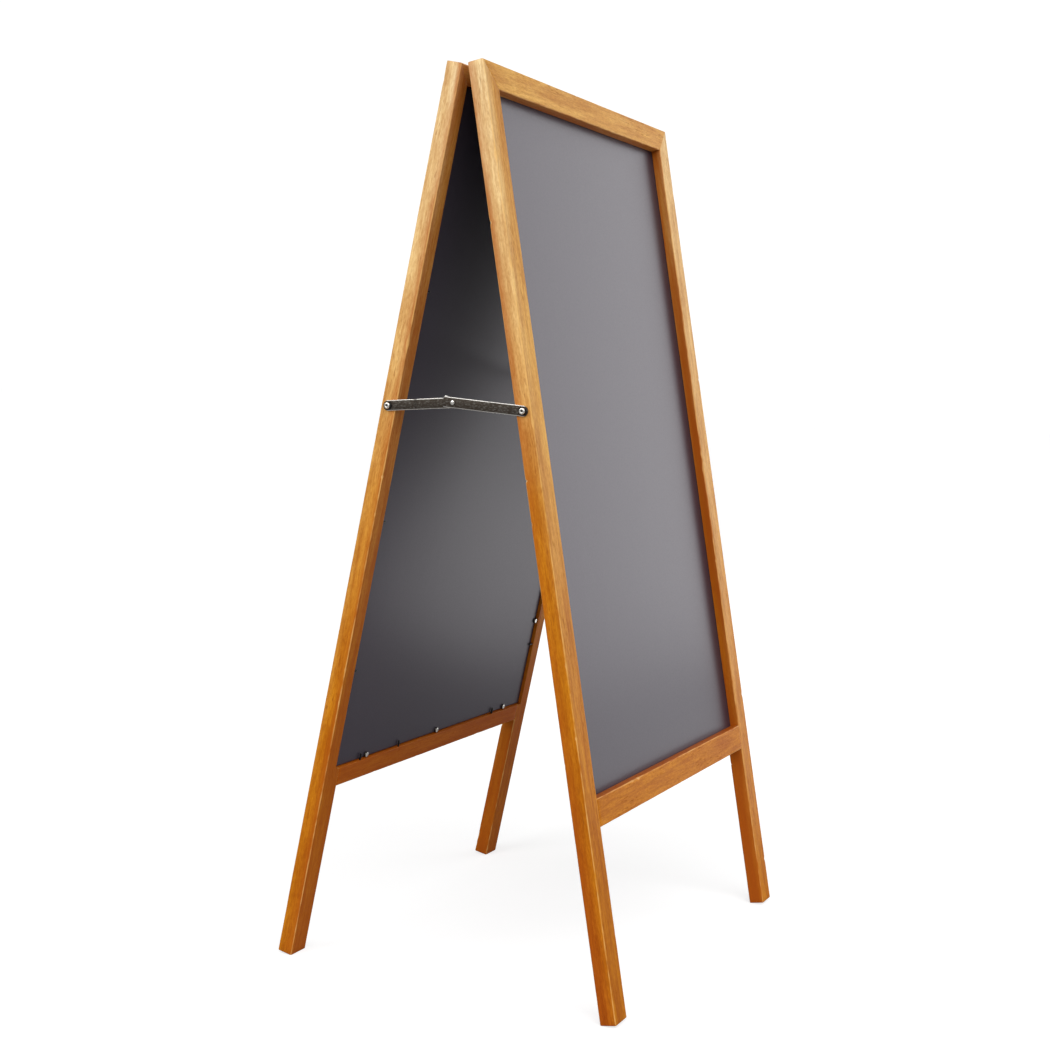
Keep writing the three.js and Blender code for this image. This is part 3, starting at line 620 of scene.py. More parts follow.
class Member:
    """
    A wooden member: its face and depth, its length along the grain, how its ends are cut, and the span
    of its rebate. start_cut and end_cut give how far its ends are cut back at a distance across its face.
    The last argument gives how much painted sheen, a painted highlight, its outer side and its outward face
    get at its start.
    """

    def __init__(self, name, face, depth, length, rebate, rebate_span, place, grain,
                 start_cut=None, end_cut=None, start_rounding=0.3 * MM, end_rounding=0.3 * MM, painted_lighting_span=(0, 1),
                 sheen_painting=(0, 0)):
        self.name = name
        self.face = face
        self.depth = depth
        self.length = length
        self.rebate = rebate
        self.rebate_span = rebate_span
        self.place = place
        self.grain = grain
        self.start_cut = start_cut
        self.end_cut = end_cut
        self.start_rounding = start_rounding
        self.end_rounding = end_rounding
        self.painted_lighting_span = painted_lighting_span
        self.sheen_painting = sheen_painting

    def stations(self, knocks):
        marks = list(np.arange(STATION_PITCH, self.length, STATION_PITCH))
        for arris in knocks:
            for where, reach in zip(arris.where, arris.reach):
                marks += [where + reach * step for step in (-1.6, -0.9, -0.45, 0, 0.45, 0.9, 1.6)]
        first, last = 2 * self.start_rounding, self.length - 2 * self.end_rounding
        marks = sorted(mark for mark in marks if first < mark < last)
        kept = [marks[0]]
        for mark in marks:
            if mark - kept[-1] > LEAST_PITCH:
                kept.append(mark)
        for rounding, ahead, behind in ((self.start_rounding, 0, 1), (self.end_rounding, self.length, -1)):
            kept += [ahead + behind * rounding * share for share in (0, 0.12, 0.4, 1)]
        for end in self.rebate_span:
            if 0 < end < self.length:
                kept = [mark for mark in kept if abs(mark - end) > 0.3 * MM]
                kept += [end - 0.1 * MM, end + 0.1 * MM]
        return sorted(kept)

    def build(self, rng, settings):
        knocks = [Knocks(rng, self.length, settings.knocks_per_metre) for _ in range(4)]
        stations = np.array(self.stations(knocks))
        radii = [
            settings.arris_radius * (1 + 0.16 * waver(rng, stations, (0.031, 0.083, 0.19, 0.47)))
            for _ in range(4)]
        # How rubbed each arris is along its length, which also paints its highlight.
        rubbing = [0.45 + 0.35 * waver(rng, stations, (0.019, 0.047, 0.11, 0.29)) for _ in range(4)]
        warp = 0.10 * MM * waver(rng, stations, (0.13, 0.31, 0.74))
        corner_of = np.repeat(np.arange(4), CORNER_POINTS + len(FLAT_SHARES))
        rows, wear, pooled, lit_outward, bleached = [], [], [], [], []
        for i, station in enumerate(stations):
            chips = [arris.at(station) for arris in knocks]
            outline, onto = section_outline(
                self.face, self.depth,
                [radius[i] + DEEPENING * chip for radius, chip in zip(radii, chips)],
                self.rebate if self.rebate_span[0] < station < self.rebate_span[1] else None,
                self.end_inset(station))
            rub_and_highlight_here = np.array([rubbing[k][i] for k in corner_of])
            chip = np.array([chips[k] for k in corner_of])
            # Partly wear, partly painted highlight on the arrises; deeper chips bare the wood.
            wear.append(onto * np.clip(rub_and_highlight_here, 0, 0.8) + onto * np.clip(chip / BARING_DEPTH, 0, 1) * 0.55)
            # Painted shade: the opening's side and the rebate are painted darker.
            pooled.append(np.where(
                outline[:, 0] < self.depth * SHADE_SIDE_REACH, SHADE_ON_SIDE,
                np.where(outline[:, 1] < self.rebate[1] + MM, SHADE_IN_REBATE, 0.0)))
            outer_side = np.clip(outline[:, 0] / self.face * 6 - 5, 0, 1)
            outward = np.clip(outline[:, 1] / self.depth * 4 - 3, 0, 1)
            # Painted light: the outward faces are painted lighter.
            lit_outward.append(1 - OUTWARD_LIGHTENING * outward)
            share = station / self.length
            # Painted sheen: the outer side near the top, and the outward face, are painted paler.
            bleached.append(self.sheen_painting[0] * outer_side * max(0, 1 - 2.2 * share)
                            + self.sheen_painting[1] * outward * (1 - outer_side) * max(0, 1 - share))
            rows.append([
                self.place(across, inward + warp[i] * (inward / self.depth), self.cut_back(station, across))
                for across, inward in outline])
        values = {"wear": wear, "pooled": pooled, "tone": lit_outward, "bleached": bleached}
        return rows, {name: np.array(value).ravel() for name, value in values.items()}, stations

    def end_inset(self, station):
        inset = 0.0
        for rounding, gap in ((self.start_rounding, station), (self.end_rounding, self.length - station)):
            if gap < rounding:
                inset = max(inset, rounding - math.sqrt(max(rounding ** 2 - (rounding - gap) ** 2, 0)))
        return inset

    def cut_back(self, station, across):
        """Distance along the member of a point whose ends are cut on the slant"""
        where = station
        if self.start_cut:
            where += self.start_cut(across) * max(0, 1 - station / END_EASING)
        if self.end_cut:
            where -= self.end_cut(across) * max(0, 1 - (self.length - station) / END_EASING)
        return where


def make_member(member, rng, space, body):
    """The member as a piece that stands for its CAD node, with its own Z axis along the grain"""
    settings = bpy.context.scene.board_wood
    rows, values, stations = member.build(rng, settings)
    along = Vector(member.grain)
    front = Vector((0, -1, 0))
    axes = axes_of(front.cross(along), front, along)
    local = moved(loft(rows), axes.inverted())
    share = np.repeat(stations / member.length, len(rows[0]))
    # Painted light: the colour runs from lighter at each member's top end to darker towards the feet.
    values["tone"] *= member.painted_lighting_span[0] + (member.painted_lighting_span[1] - member.painted_lighting_span[0]) * share
    values["grain_shift"] = np.full(len(local[0]), rng.uniform(0, 9))
    make_piece(member.name, local, "Stained Wood", space @ axes, body, [member.name], values)


def frame_members(name, sizes):
    """The four members of one frame"""
    half, rebate = sizes.opening_half, (sizes.rebate_width, sizes.rebate_depth)
    mitre = sizes.top_rail_face / sizes.stile_face

    def rail_cut(across):
        return (sizes.top_rail_face - across) / mitre + GLUE_SEAM

    members = []
    # Each member's span of painted light runs from lighter at the top to darker at the feet.
    for side in SIDES:
        way = 1 if cad_corners(f"{name}_{side}_stile", sizes.space)[1].x > 0 else -1
        members.append(Member(
            f"{name}_{side}_stile", sizes.stile_face, sizes.depth, sizes.length,
            rebate, (-1, sizes.rebate_bottom),
            lambda across, inward, along, way=way: (way * (half + across), -inward, -along),
            (0, 0, -1),
            start_cut=lambda across: (sizes.stile_face - across) * mitre + GLUE_SEAM,
            end_rounding=1.3 * MM, painted_lighting_span=(0.0, 1.0 if name == "front" else 0.76),
            sheen_painting=(SIDE_SHEEN, 0.0 if side == "left" else FACE_SHEEN)))
    members.append(Member(
        f"{name}_top_rail", sizes.top_rail_face, sizes.depth, 2 * sizes.half_width,
        rebate, WHOLE_LENGTH,
        lambda across, inward, along: (along - sizes.half_width, -inward, across - sizes.top_rail_face),
        (1, 0, 0),
        start_cut=rail_cut, end_cut=rail_cut, painted_lighting_span=(0.10, 0.06)))
    members.append(Member(
        f"{name}_bottom_rail", sizes.rail_face, sizes.depth, 2 * (half - GLUE_SEAM),
        rebate, WHOLE_LENGTH,
        lambda across, inward, along: (along - half + GLUE_SEAM, -inward, -sizes.rail_top - across),
        (1, 0, 0), painted_lighting_span=(0.84, 0.78)))
    return members


class SANDWICHBOARD_OT_wooden_frames(bpy.types.Operator):
    """Make the stiles and rails of both frames"""

    bl_idname = "sandwichboard.wooden_frames"
    bl_label = "Wooden Frames"

    def execute(self, context):
        for number, name in enumerate(FRAMES):
            sizes = FrameSizes(name)
            for place, member in enumerate(frame_members(name, sizes)):
                rng = np.random.default_rng(100 * number + 10 * place + 3)
                make_member(member, rng, sizes.space, f"{name}_frame")
        return {"FINISHED"}


# ---------------------------------------------------------------- chalkboards

class SANDWICHBOARD_OT_chalkboards(bpy.types.Operator):
    """Paint both chalkboards"""

    bl_idname = "sandwichboard.chalkboards"
    bl_label = "Chalkboards"

    def execute(self, context):
        for name in FRAMES:
            board = frame["nodes"][f"{name}_chalkboard"]
            board.data.materials.clear()
            board.data.materials.append(finish_named("Chalkboard Paint"))
        return {"FINISHED"}


# ---------------------------------------------------------------- panel fixings

SCREW_RADIUS, SCREW_LENGTH = 1.4 * MM, 9 * MM  # of a panel screw's shank
SCREW_INSET = 4.6 * MM  # from the rebate's wall to a panel screw's axis
SCREW_PLAY = 0.08 * MM  # between a panel screw's head and the chalkboard
PIN_BEND = 2.2 * MM  # length over which a panel pin is bent
PIN_DEPTH = 1.5 * MM  # of a panel pin in the wood
PIN_SHORTENING = 0.6 * MM  # of the bent pin against the CAD model's


def button_head(radius, length, head_radius, head_height, socket_share=0.42):
    """Button-headed screw with a six-sided socket, its bearing face at 0 and its head up"""
    socket = socket_share * head_radius
    rim = 0.08 * head_radius
    return turned([
        (0.2 * radius, -length), (radius, -length + 1.5 * radius), (radius, -0.1 * MM), (radius, 0),
        (head_radius - rim, 0), (head_radius, rim), (head_radius, 0.34 * head_height),
        (0.98 * head_radius, 0.52 * head_height), (0.93 * head_radius, 0.76 * head_height),
        (0.84 * head_radius, 0.92 * head_height), (0.72 * head_radius, 0.98 * head_height),
        (1.25 * socket, head_height), (1.06 * socket, 0.98 * head_height), (socket, 0.90 * head_height, 6),
        (0.98 * socket, -0.10 * head_height, 6), (0.5 * socket, -0.35 * head_height, 6),
        (0.05 * socket, -0.40 * head_height, 6)])


def swept_wire(path, radius, segments=16):
    """Round wire along a path in one plane, tapered to a blunt point at its far end"""
    path = [Vector(point) for point in path]
    plane = (path[-1] - path[0]).cross(path[len(path) // 2] - path[0]).normalized()
    rings = []
    for i, point in enumerate(path):
        ahead = (path[min(i + 1, len(path) - 1)] - path[max(i - 1, 0)]).normalized()
        across = ahead.cross(plane).normalized()
        size = radius * (0.55 if i == len(path) - 1 else 0.92 if i == len(path) - 2 else 1)
        rings.append([
            point + size * (math.cos(angle) * across + math.sin(angle) * plane)
            for angle in np.arange(segments) * 2 * math.pi / segments])
    return loft(rings)


def bent_pin(wall, out, radius, reach, droop):
    """Panel pin that comes out of the rebate's wall and is bent in towards the chalkboard"""
    down = Vector((0, -1, 0))
    straight = reach - PIN_BEND
    path = [wall + out * step for step in (-PIN_DEPTH, 0, 0.35 * straight, 0.7 * straight, straight)]
    for share in (0.2, 0.4, 0.6, 0.8, 1.0):
        path.append(wall + out * (straight + PIN_BEND * math.sin(share * math.pi / 2))
                    + down * droop * (1 - math.cos(share * math.pi / 2)))
    return swept_wire(path, radius)


# The fixings that the CAD model leaves out: on the side wall or the top wall, and how far from its middle
EXTRA_PINS = [("side", 190 * MM), ("side", -120 * MM), ("top", -100 * MM), ("top", 130 * MM)]
EXTRA_SCREWS = [("side", 30 * MM), ("top", -190 * MM), ("top", 20 * MM)]


def wall_place(wall, distance, sizes, inset):
    """A place at the rebate's -X side wall or its top wall, and the direction out of that wall"""
    if wall == "top":
        return Vector((distance, 0, -(sizes.top_rail_face - sizes.rebate_width) - inset)), Vector((0, 0, -1))
    middle = -(sizes.top_rail_face + sizes.rail_top) / 2
    across = -(sizes.opening_half + sizes.rebate_width - inset)
    return Vector((across, 0, middle + distance)), Vector((1, 0, 0))


class SANDWICHBOARD_OT_panel_fixings(bpy.types.Operator):
    """Make the screws and bent pins that hold the chalkboards in their rebates"""

    bl_idname = "sandwichboard.panel_fixings"
    bl_label = "Panel Fixings"

    def execute(self, context):
        for name in FRAMES:
            sizes = FrameSizes(name)
            self.make_screws(name, sizes)
            self.make_pins(name, sizes)
        return {"FINISHED"}

    def make_screws(self, name, sizes):
        """The CAD model's screws, then the others, which are like the last of them"""
        bearing = -sizes.board_back + SCREW_PLAY
        screws = []
        for node in nodes_starting(f"{name}_panel_screw"):
            low, high = cad_corners(node, sizes.space)
            head = ((high.x - low.x) / 2, high.y - bearing)
            screws.append((f"{node}_turned", (low + high) / 2, head, [node]))
        for i, (wall, distance) in enumerate(EXTRA_SCREWS):
            where = wall_place(wall, distance, sizes, SCREW_INSET)[0]
            screws.append((f"{name}_panel_screw_extra_{i + 1}", where, screws[-1][2], ()))
        for piece, centre, (head_radius, head_height), stands_for in screws:
            part = button_head(SCREW_RADIUS, SCREW_LENGTH, head_radius, head_height, 0.2)
            place = pointed_along((0, 1, 0), (centre.x, bearing, centre.z))
            # Painted highlight: the tops of the heads are painted bright.
            make_piece(piece, moved(part, place), "Tarnished Strap", sizes.space, f"{name}_frame", stands_for,
                       {"rubbing": np.clip(part[0][:, 2] / head_height, 0, 1)})

    def make_pins(self, name, sizes):
        """The CAD model's pins, then the others, which are like the last of them"""
        pins = []
        for node in nodes_starting(f"{name}_panel_pin"):
            low, high = cad_corners(node, sizes.space)
            centre = (low + high) / 2
            upright = high.z - low.z > high.x - low.x
            radius = (high.x - low.x if upright else high.z - low.z) / 2
            if upright:
                out = Vector((0, 0, 1))
                wall = Vector((centre.x, high.y - radius, -sizes.rebate_bottom))
                reach = high.z - wall.z
            else:
                out = Vector((-math.copysign(1, centre.x), 0, 0))
                wall = Vector((-out.x * (sizes.opening_half + sizes.rebate_width), high.y - radius, centre.z))
                reach = abs(wall.x) - min(abs(low.x), abs(high.x))
            droop = (high.y - radius) + sizes.board_back - 0.9 * radius
            size = (radius, reach - PIN_SHORTENING, droop)
            pins.append((f"{node}_bent", wall, out, size, [node]))
        for i, (side, distance) in enumerate(EXTRA_PINS):
            where, out = wall_place(side, distance, sizes, 0)
            where.y = pins[-1][1].y
            pins.append((f"{name}_panel_pin_extra_{i + 1}", where, out, pins[-1][3], ()))
        for piece, wall, out, size, stands_for in pins:
            make_piece(piece, bent_pin(wall, out, *size), "Blacked Steel", sizes.space, f"{name}_frame",
                       stands_for)


# ---------------------------------------------------------------- hinges

KNUCKLE_COUNT = 5
LEAF_THICKNESS = 1.4 * MM
HINGE_PIN_RADIUS = 1.5 * MM
KNUCKLE_PLAY = 0.15 * MM  # at each end of a knuckle
KNUCKLE_EASING = 0.25 * MM


def rounded_plate(low, high, corner, rounding):
    """Plate in the XZ plane between two corners, with round corners and eased edges"""
    low, high = Vector(low), Vector(high)
    rings = []
    for inset, y in ((rounding, low.y), (0.3 * rounding, low.y + 0.3 * rounding), (0, low.y + rounding),
                     (0, high.y - rounding), (0.3 * rounding, high.y - 0.3 * rounding), (rounding, high.y)):
        outline = rounded_rectangle((low.x, low.z), (high.x, high.z), corner, inset, 6)
        rings.append([(x, y, z) for x, z in outline])
    return loft(rings)


def knuckle(start, end, axis_y, axis_z, radius, bore, leaf_top):
    """Knuckle rolled from the leaf round the pin, open towards the leaf's back"""
    eased = radius - KNUCKLE_EASING
    profile = [(bore, start), (eased, start), (radius, start + KNUCKLE_EASING),
               (radius, end - KNUCKLE_EASING), (eased, end), (bore, end)]
    barrel = moved(turned(profile, 40), pointed_along((1, 0, 0), (0, axis_y, axis_z)))
    web = rounded_plate(
        (start + 0.1 * MM, leaf_top.y - LEAF_THICKNESS, leaf_top.z - 1.5 * MM),
        (end - 0.1 * MM, leaf_top.y, axis_z), 0.2 * MM, 0.15 * MM)
    return [barrel, web]


class SANDWICHBOARD_OT_hinges(bpy.types.Operator):
    """Make the leaves, pins and screws of both hinges"""

    bl_idname = "sandwichboard.hinges"
    bl_label = "Hinges"

    def execute(self, context):
        for name in FRAMES:
            sizes = FrameSizes(name)
            for side in SIDES:
                self.make_leaf(name, side, sizes)
                for number in (1, 2):
                    self.make_screw(name, side, number, sizes)
        for side in SIDES:
            self.make_pin(side, FrameSizes("front"))
        return {"FINISHED"}

    def make_leaf(self, name, side, sizes):
        node = f"{side}_hinge_{name}_leaf"
        low, high = cad_corners(node, sizes.space)
        low.x, high.x = (corner.x for corner in cad_corners(f"{side}_hinge_front_leaf", sizes.space))
        radius = (high.y - low.y) / 2
        axis_y = (high.y + low.y) / 2
        axis_z = high.z - radius
        pitch = (high.x - low.x) / KNUCKLE_COUNT
        first = FRAMES.index(name)
        face = low.y + LEAF_THICKNESS
        plate_top = axis_z - radius - 0.3 * MM
        parts = [rounded_plate(low, (high.x, face, plate_top), 1.2 * MM, 0.25 * MM)]
        for i in range(first, KNUCKLE_COUNT, 2):
            parts += knuckle(
                low.x + i * pitch + KNUCKLE_PLAY, low.x + (i + 1) * pitch - KNUCKLE_PLAY, axis_y, axis_z,
                radius, HINGE_PIN_RADIUS, Vector((0, face, plate_top)))
        make_piece(f"{node}_rolled", joined(parts), "Plated Steel", sizes.space, f"{name}_frame", [node])

    def make_screw(self, name, side, number, sizes):
        node = f"{side}_hinge_{name}_screw_{number}"
        low, high = cad_corners(node, sizes.space)
        centre = (low + high) / 2
        head = (high.x - low.x) / 2
        cone = turned([
            (0.3 * MM, low.y - high.y), (1.5 * MM, low.y - high.y + 2 * MM), (1.5 * MM, -1.6 * MM),
            (head, -0.12 * MM), (head - 0.1 * MM, 0.05 * MM), (0.5 * head, 0.16 * MM),
            (0.42 * head, 0.16 * MM, 4), (0.34 * head, -0.5 * MM, 4), (0.05 * head, -0.9 * MM, 4)])
        place = pointed_along((0, 1, 0), (centre.x, high.y, centre.z))
        make_piece(f"{node}_turned", moved(cone, place), "Plated Steel", sizes.space, f"{name}_frame", [node])

    def make_pin(self, side, sizes):
        node = f"{side}_hinge_pin"
        low, high = cad_corners(node, sizes.space)
        centre = (low + high) / 2
        half = (high.x - low.x) / 2
        head = (high.y - low.y) / 2
        pin = turned([
            (0.7 * head, -half), (head, -half + 0.3 * MM), (head, -half + 0.9 * MM),
            (HINGE_PIN_RADIUS, -half + MM), (HINGE_PIN_RADIUS, half - MM), (head, half - 0.9 * MM),
            (head, half - 0.3 * MM), (0.7 * head, half)], 32)
        part = moved(pin, pointed_along((1, 0, 0), centre))
        make_piece(f"{node}_turned", part, "Plated Steel", sizes.space, "front_frame", [node])


# ---------------------------------------------------------------- stays

STRAP_THICKNESS = 1.8 * MM
JOGGLE_START = 38 * MM
JOGGLE_LENGTH = 7 * MM
STRAP_PITCH = 4 * MM  # between a strap's rings
STRAP_ROUNDING = 0.5 * MM
STRAP_SEAT = 0.2 * MM  # from the stile's face to a strap's end
STRAP_CORNER = 2 * MM  # of the front link's tail
STILL_LENGTH = 20 * MM  # over which a strap's bow dies away towards its screw and its knee
TAB_LENGTH, TAB_SETBACK = 4 * MM, 5.5 * MM
SET_END_RADIUS = 2.9 * MM
WASHER_BORE = 2.3 * MM
END_SCREW_RADIUS, END_SCREW_GRIP = 2.2 * MM, 12 * MM
RIVET_SHANK, RIVET_HEAD_HEIGHT = 2 * MM, 1.5 * MM


def reach_span(low, high):
    """The smallest and largest distance of a box's X faces from X = 0"""
    return sorted((abs(low.x), abs(high.x)))


def strap_ring(y, half_width, back, face):
    """Rounded rectangle across a strap: X through its thickness and Z across its width"""
    rounding = min(STRAP_ROUNDING, half_width * 0.95, abs(face - back) * 0.45)
    low_x, high_x = sorted((back, face))
    outline = rounded_rectangle((low_x, -half_width), (high_x, half_width), rounding, 0, 4)
    return [(x, y, z) for x, z in outline]


def strap_part(rng, way, length, tail, seat, standoff, half_width):
    """A stay's link: along +Y from its end screw, standing off towards way, with a joggle and its far end"""
    end = length + (tail if tail else half_width)
    corner = STRAP_CORNER if tail else half_width
    marks = [-half_width * math.cos(math.radians(angle)) for angle in (4, 12, 22, 34, 46, 58, 70, 80, 90)]
    marks += list(np.arange(STRAP_PITCH, JOGGLE_START - MM, STRAP_PITCH))
    marks += [JOGGLE_START + JOGGLE_LENGTH * i / 10 for i in range(11)]
    marks += list(np.arange(JOGGLE_START + JOGGLE_LENGTH + 3 * MM, end - corner - 2 * MM, STRAP_PITCH))
    bends = (0, 12, 24, 36, 48, 60, 70, 78, 86)
    marks += [end - corner + corner * math.sin(math.radians(angle)) for angle in bends]
    marks = np.array(marks)
    edge_waver = 0.03 * MM * waver(rng, marks, (0.011, 0.027, 0.06))
    bow = 0.06 * MM * waver(rng, marks, (0.05, 0.12))
    rings = []
    for i, y in enumerate(marks):
        share = min(max((y - JOGGLE_START) / JOGGLE_LENGTH, 0), 1)
        back = seat + (standoff - seat) * (3 - 2 * share) * share ** 2
        half = half_width
        if y < 0:
            half = math.sqrt(max(half_width ** 2 - y ** 2, 0))
        if y > end - corner:
            half = half_width - corner + math.sqrt(max(corner ** 2 - (y - end + corner) ** 2, 0))
        thin = 0.35 * MM if i in (0, len(marks) - 1) else 0
        offset = bow[i] * min(1, abs(y) / STILL_LENGTH) * min(1, abs(length - y) / STILL_LENGTH)
        ring = strap_ring(y, half, way * (back + thin), way * (back + STRAP_THICKNESS - thin))
        shift = edge_waver[i] + offset if half == half_width else 0
        rings.append([(x, along, z + shift) for x, along, z in ring])
    return loft(rings)


def stop_tab(way, length, tail, standoff, back_standoff, under):
    """Tab at the front link's tail, folded over the back link's upper edge"""
    start = length + tail - TAB_SETBACK
    low_x, high_x = sorted((way * back_standoff, way * (standoff + STRAP_THICKNESS)))
    top = rounded_plate(
        (low_x, 0, start), (high_x, STRAP_THICKNESS, start + TAB_LENGTH), 0.8 * MM, 0.3 * MM)
    lay = Matrix(((1, 0, 0, 0), (0, 0, 1, 0), (0, 1, 0, under), (0, 0, 0, 1)))
    return moved(top, lay)


class StaySpace:
    """One link's own space: from its end screw, Y along the link and Z across it"""

    def __init__(self, name, side):
        pivot = joint_named(f"{name}_link_pivot_{side}")
        knee_low, knee_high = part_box(f"{side}_stay_rivet")
        knee = (Vector(knee_low) + Vector(knee_high)) / 2
        screw = Vector(pivot["pos_m"])
        self.way = math.copysign(1, screw.x)
        stile_low, stile_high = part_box(f"front_{side}_stile")
        face_x = stile_low[0] if self.way < 0 else stile_high[0]
        across = Vector((0, knee.y - screw.y, knee.z - screw.z))
        self.length = across.length
        along = across.normalized()
        x_axis = Vector((1, 0, 0)) if along.y > 0 else Vector((-1, 0, 0))
        up = x_axis.cross(along)
        self.out = self.way * x_axis.x
        self.matrix = Matrix.Translation((face_x, screw.y, screw.z)) @ axes_of(x_axis, along, up)


class SANDWICHBOARD_OT_stays(bpy.types.Operator):
    """Make the links, rivets, screws and washers of both folding stays"""

    bl_idname = "sandwichboard.stays"
    bl_label = "Stays"

    def execute(self, context):
        for number, side in enumerate(SIDES):
            for name in FRAMES:
                self.make_link(name, side, np.random.default_rng(40 + 2 * number + FRAMES.index(name)))
                self.make_end(name, side)
            self.make_rivet(side)
        return {"FINISHED"}

    def make_link(self, name, side, rng):
        node = f"{side}_stay_{name}_link"
        space = StaySpace(name, side)
        low, high = cad_corners(node, space.matrix)
        half_width = -low.z
        standoff = reach_span(low, high)[1] - STRAP_THICKNESS
        tail = high.y - space.length if name == "front" else 0
        parts = [strap_part(rng, space.out, space.length, tail, STRAP_SEAT, standoff, half_width)]
        if name == "front":
            back_link = cad_corners(f"{side}_stay_back_link", StaySpace("back", side).matrix)
            back_standoff = reach_span(*back_link)[1] - STRAP_THICKNESS
            parts.append(stop_tab(
                space.out, space.length, tail, standoff, back_standoff, high.z - STRAP_THICKNESS))
        else:
            set_end = turned([
                (SET_END_RADIUS, -0.1 * MM), (SET_END_RADIUS, 0.35 * MM), (2.3 * MM, 0.5 * MM)], 32)
            place = pointed_along((-space.out, 0, 0), (space.out * standoff, space.length, 0))
            parts.append(moved(set_end, place))
        part = joined(parts)
        # Painted highlight: the strap's edges are painted bright.
        make_piece(f"{node}_strap", part, "Tarnished Strap", space.matrix, f"{name}_link_{side}", [node],
                   {"rubbing": part[0][:, 2] / half_width})

    def make_end(self, name, side):
        sizes = FrameSizes(name)
        washer, screw = f"{side}_stay_{name}_washer", f"{side}_stay_{name}_screw"
        low, high = cad_corners(washer, sizes.space)
        way = math.copysign(1, low.x)
        centre = (low + high) / 2
        inner, outer = reach_span(low, high)
        radius = (high.z - low.z) / 2
        thick = outer - inner
        ring = turned([
            (WASHER_BORE, 0), (radius - 0.15 * MM, 0), (radius, 0.15 * MM), (radius, thick - 0.2 * MM),
            (radius - 0.3 * MM, thick), (WASHER_BORE, thick)], 64)
        seat = Vector((way * inner, centre.y, centre.z))
        make_piece(f"{washer}_turned", moved(ring, pointed_along((way, 0, 0), seat)), "Blacked Steel",
                   sizes.space, f"{name}_frame", [washer])
        low, high = cad_corners(screw, sizes.space)
        head_radius = (high.z - low.z) / 2
        bearing = outer + 0.05 * MM
        shank = bearing - sizes.half_width + END_SCREW_GRIP
        part = button_head(END_SCREW_RADIUS, shank, head_radius, reach_span(low, high)[1] - bearing)
        place = pointed_along((way, 0, 0), (way * bearing, centre.y, centre.z))
        make_piece(f"{screw}_turned", moved(part, place), "Plated Steel", sizes.space, f"{name}_frame",
                   [screw])

    def make_rivet(self, side):
        node = f"{side}_stay_rivet"
        space = StaySpace("front", side)
        low, high = cad_corners(node, space.matrix)
        radius = (high.z - low.z) / 2
        inner, tip = reach_span(low, high)
        height = RIVET_HEAD_HEIGHT
        part = turned([
            (RIVET_SHANK, inner - tip + height), (RIVET_SHANK, 0), (radius - 0.2 * MM, 0),
            (radius, 0.15 * MM), (0.97 * radius, 0.4 * height), (0.85 * radius, 0.68 * height),
            (0.62 * radius, 0.88 * height), (0.3 * radius, 0.98 * height), (0.05 * radius, height)])
        place = pointed_along((space.out, 0, 0), (space.out * (tip - height), space.length, 0))
        # Painted highlight: the top of the rivet's head is painted bright.
        rubbing = np.clip(part[0][:, 2] / height, 0, 1) + 0.12
        make_piece(f"{node}_set", moved(part, place), "Tarnished Strap", space.matrix,
                   f"front_link_{side}", [node], {"rubbing": rubbing})


# ---------------------------------------------------------------- stage

FLOOR_REACH = 40
SURROUND_SHOWN = 1.05  # brightness of the surround as the camera sees it


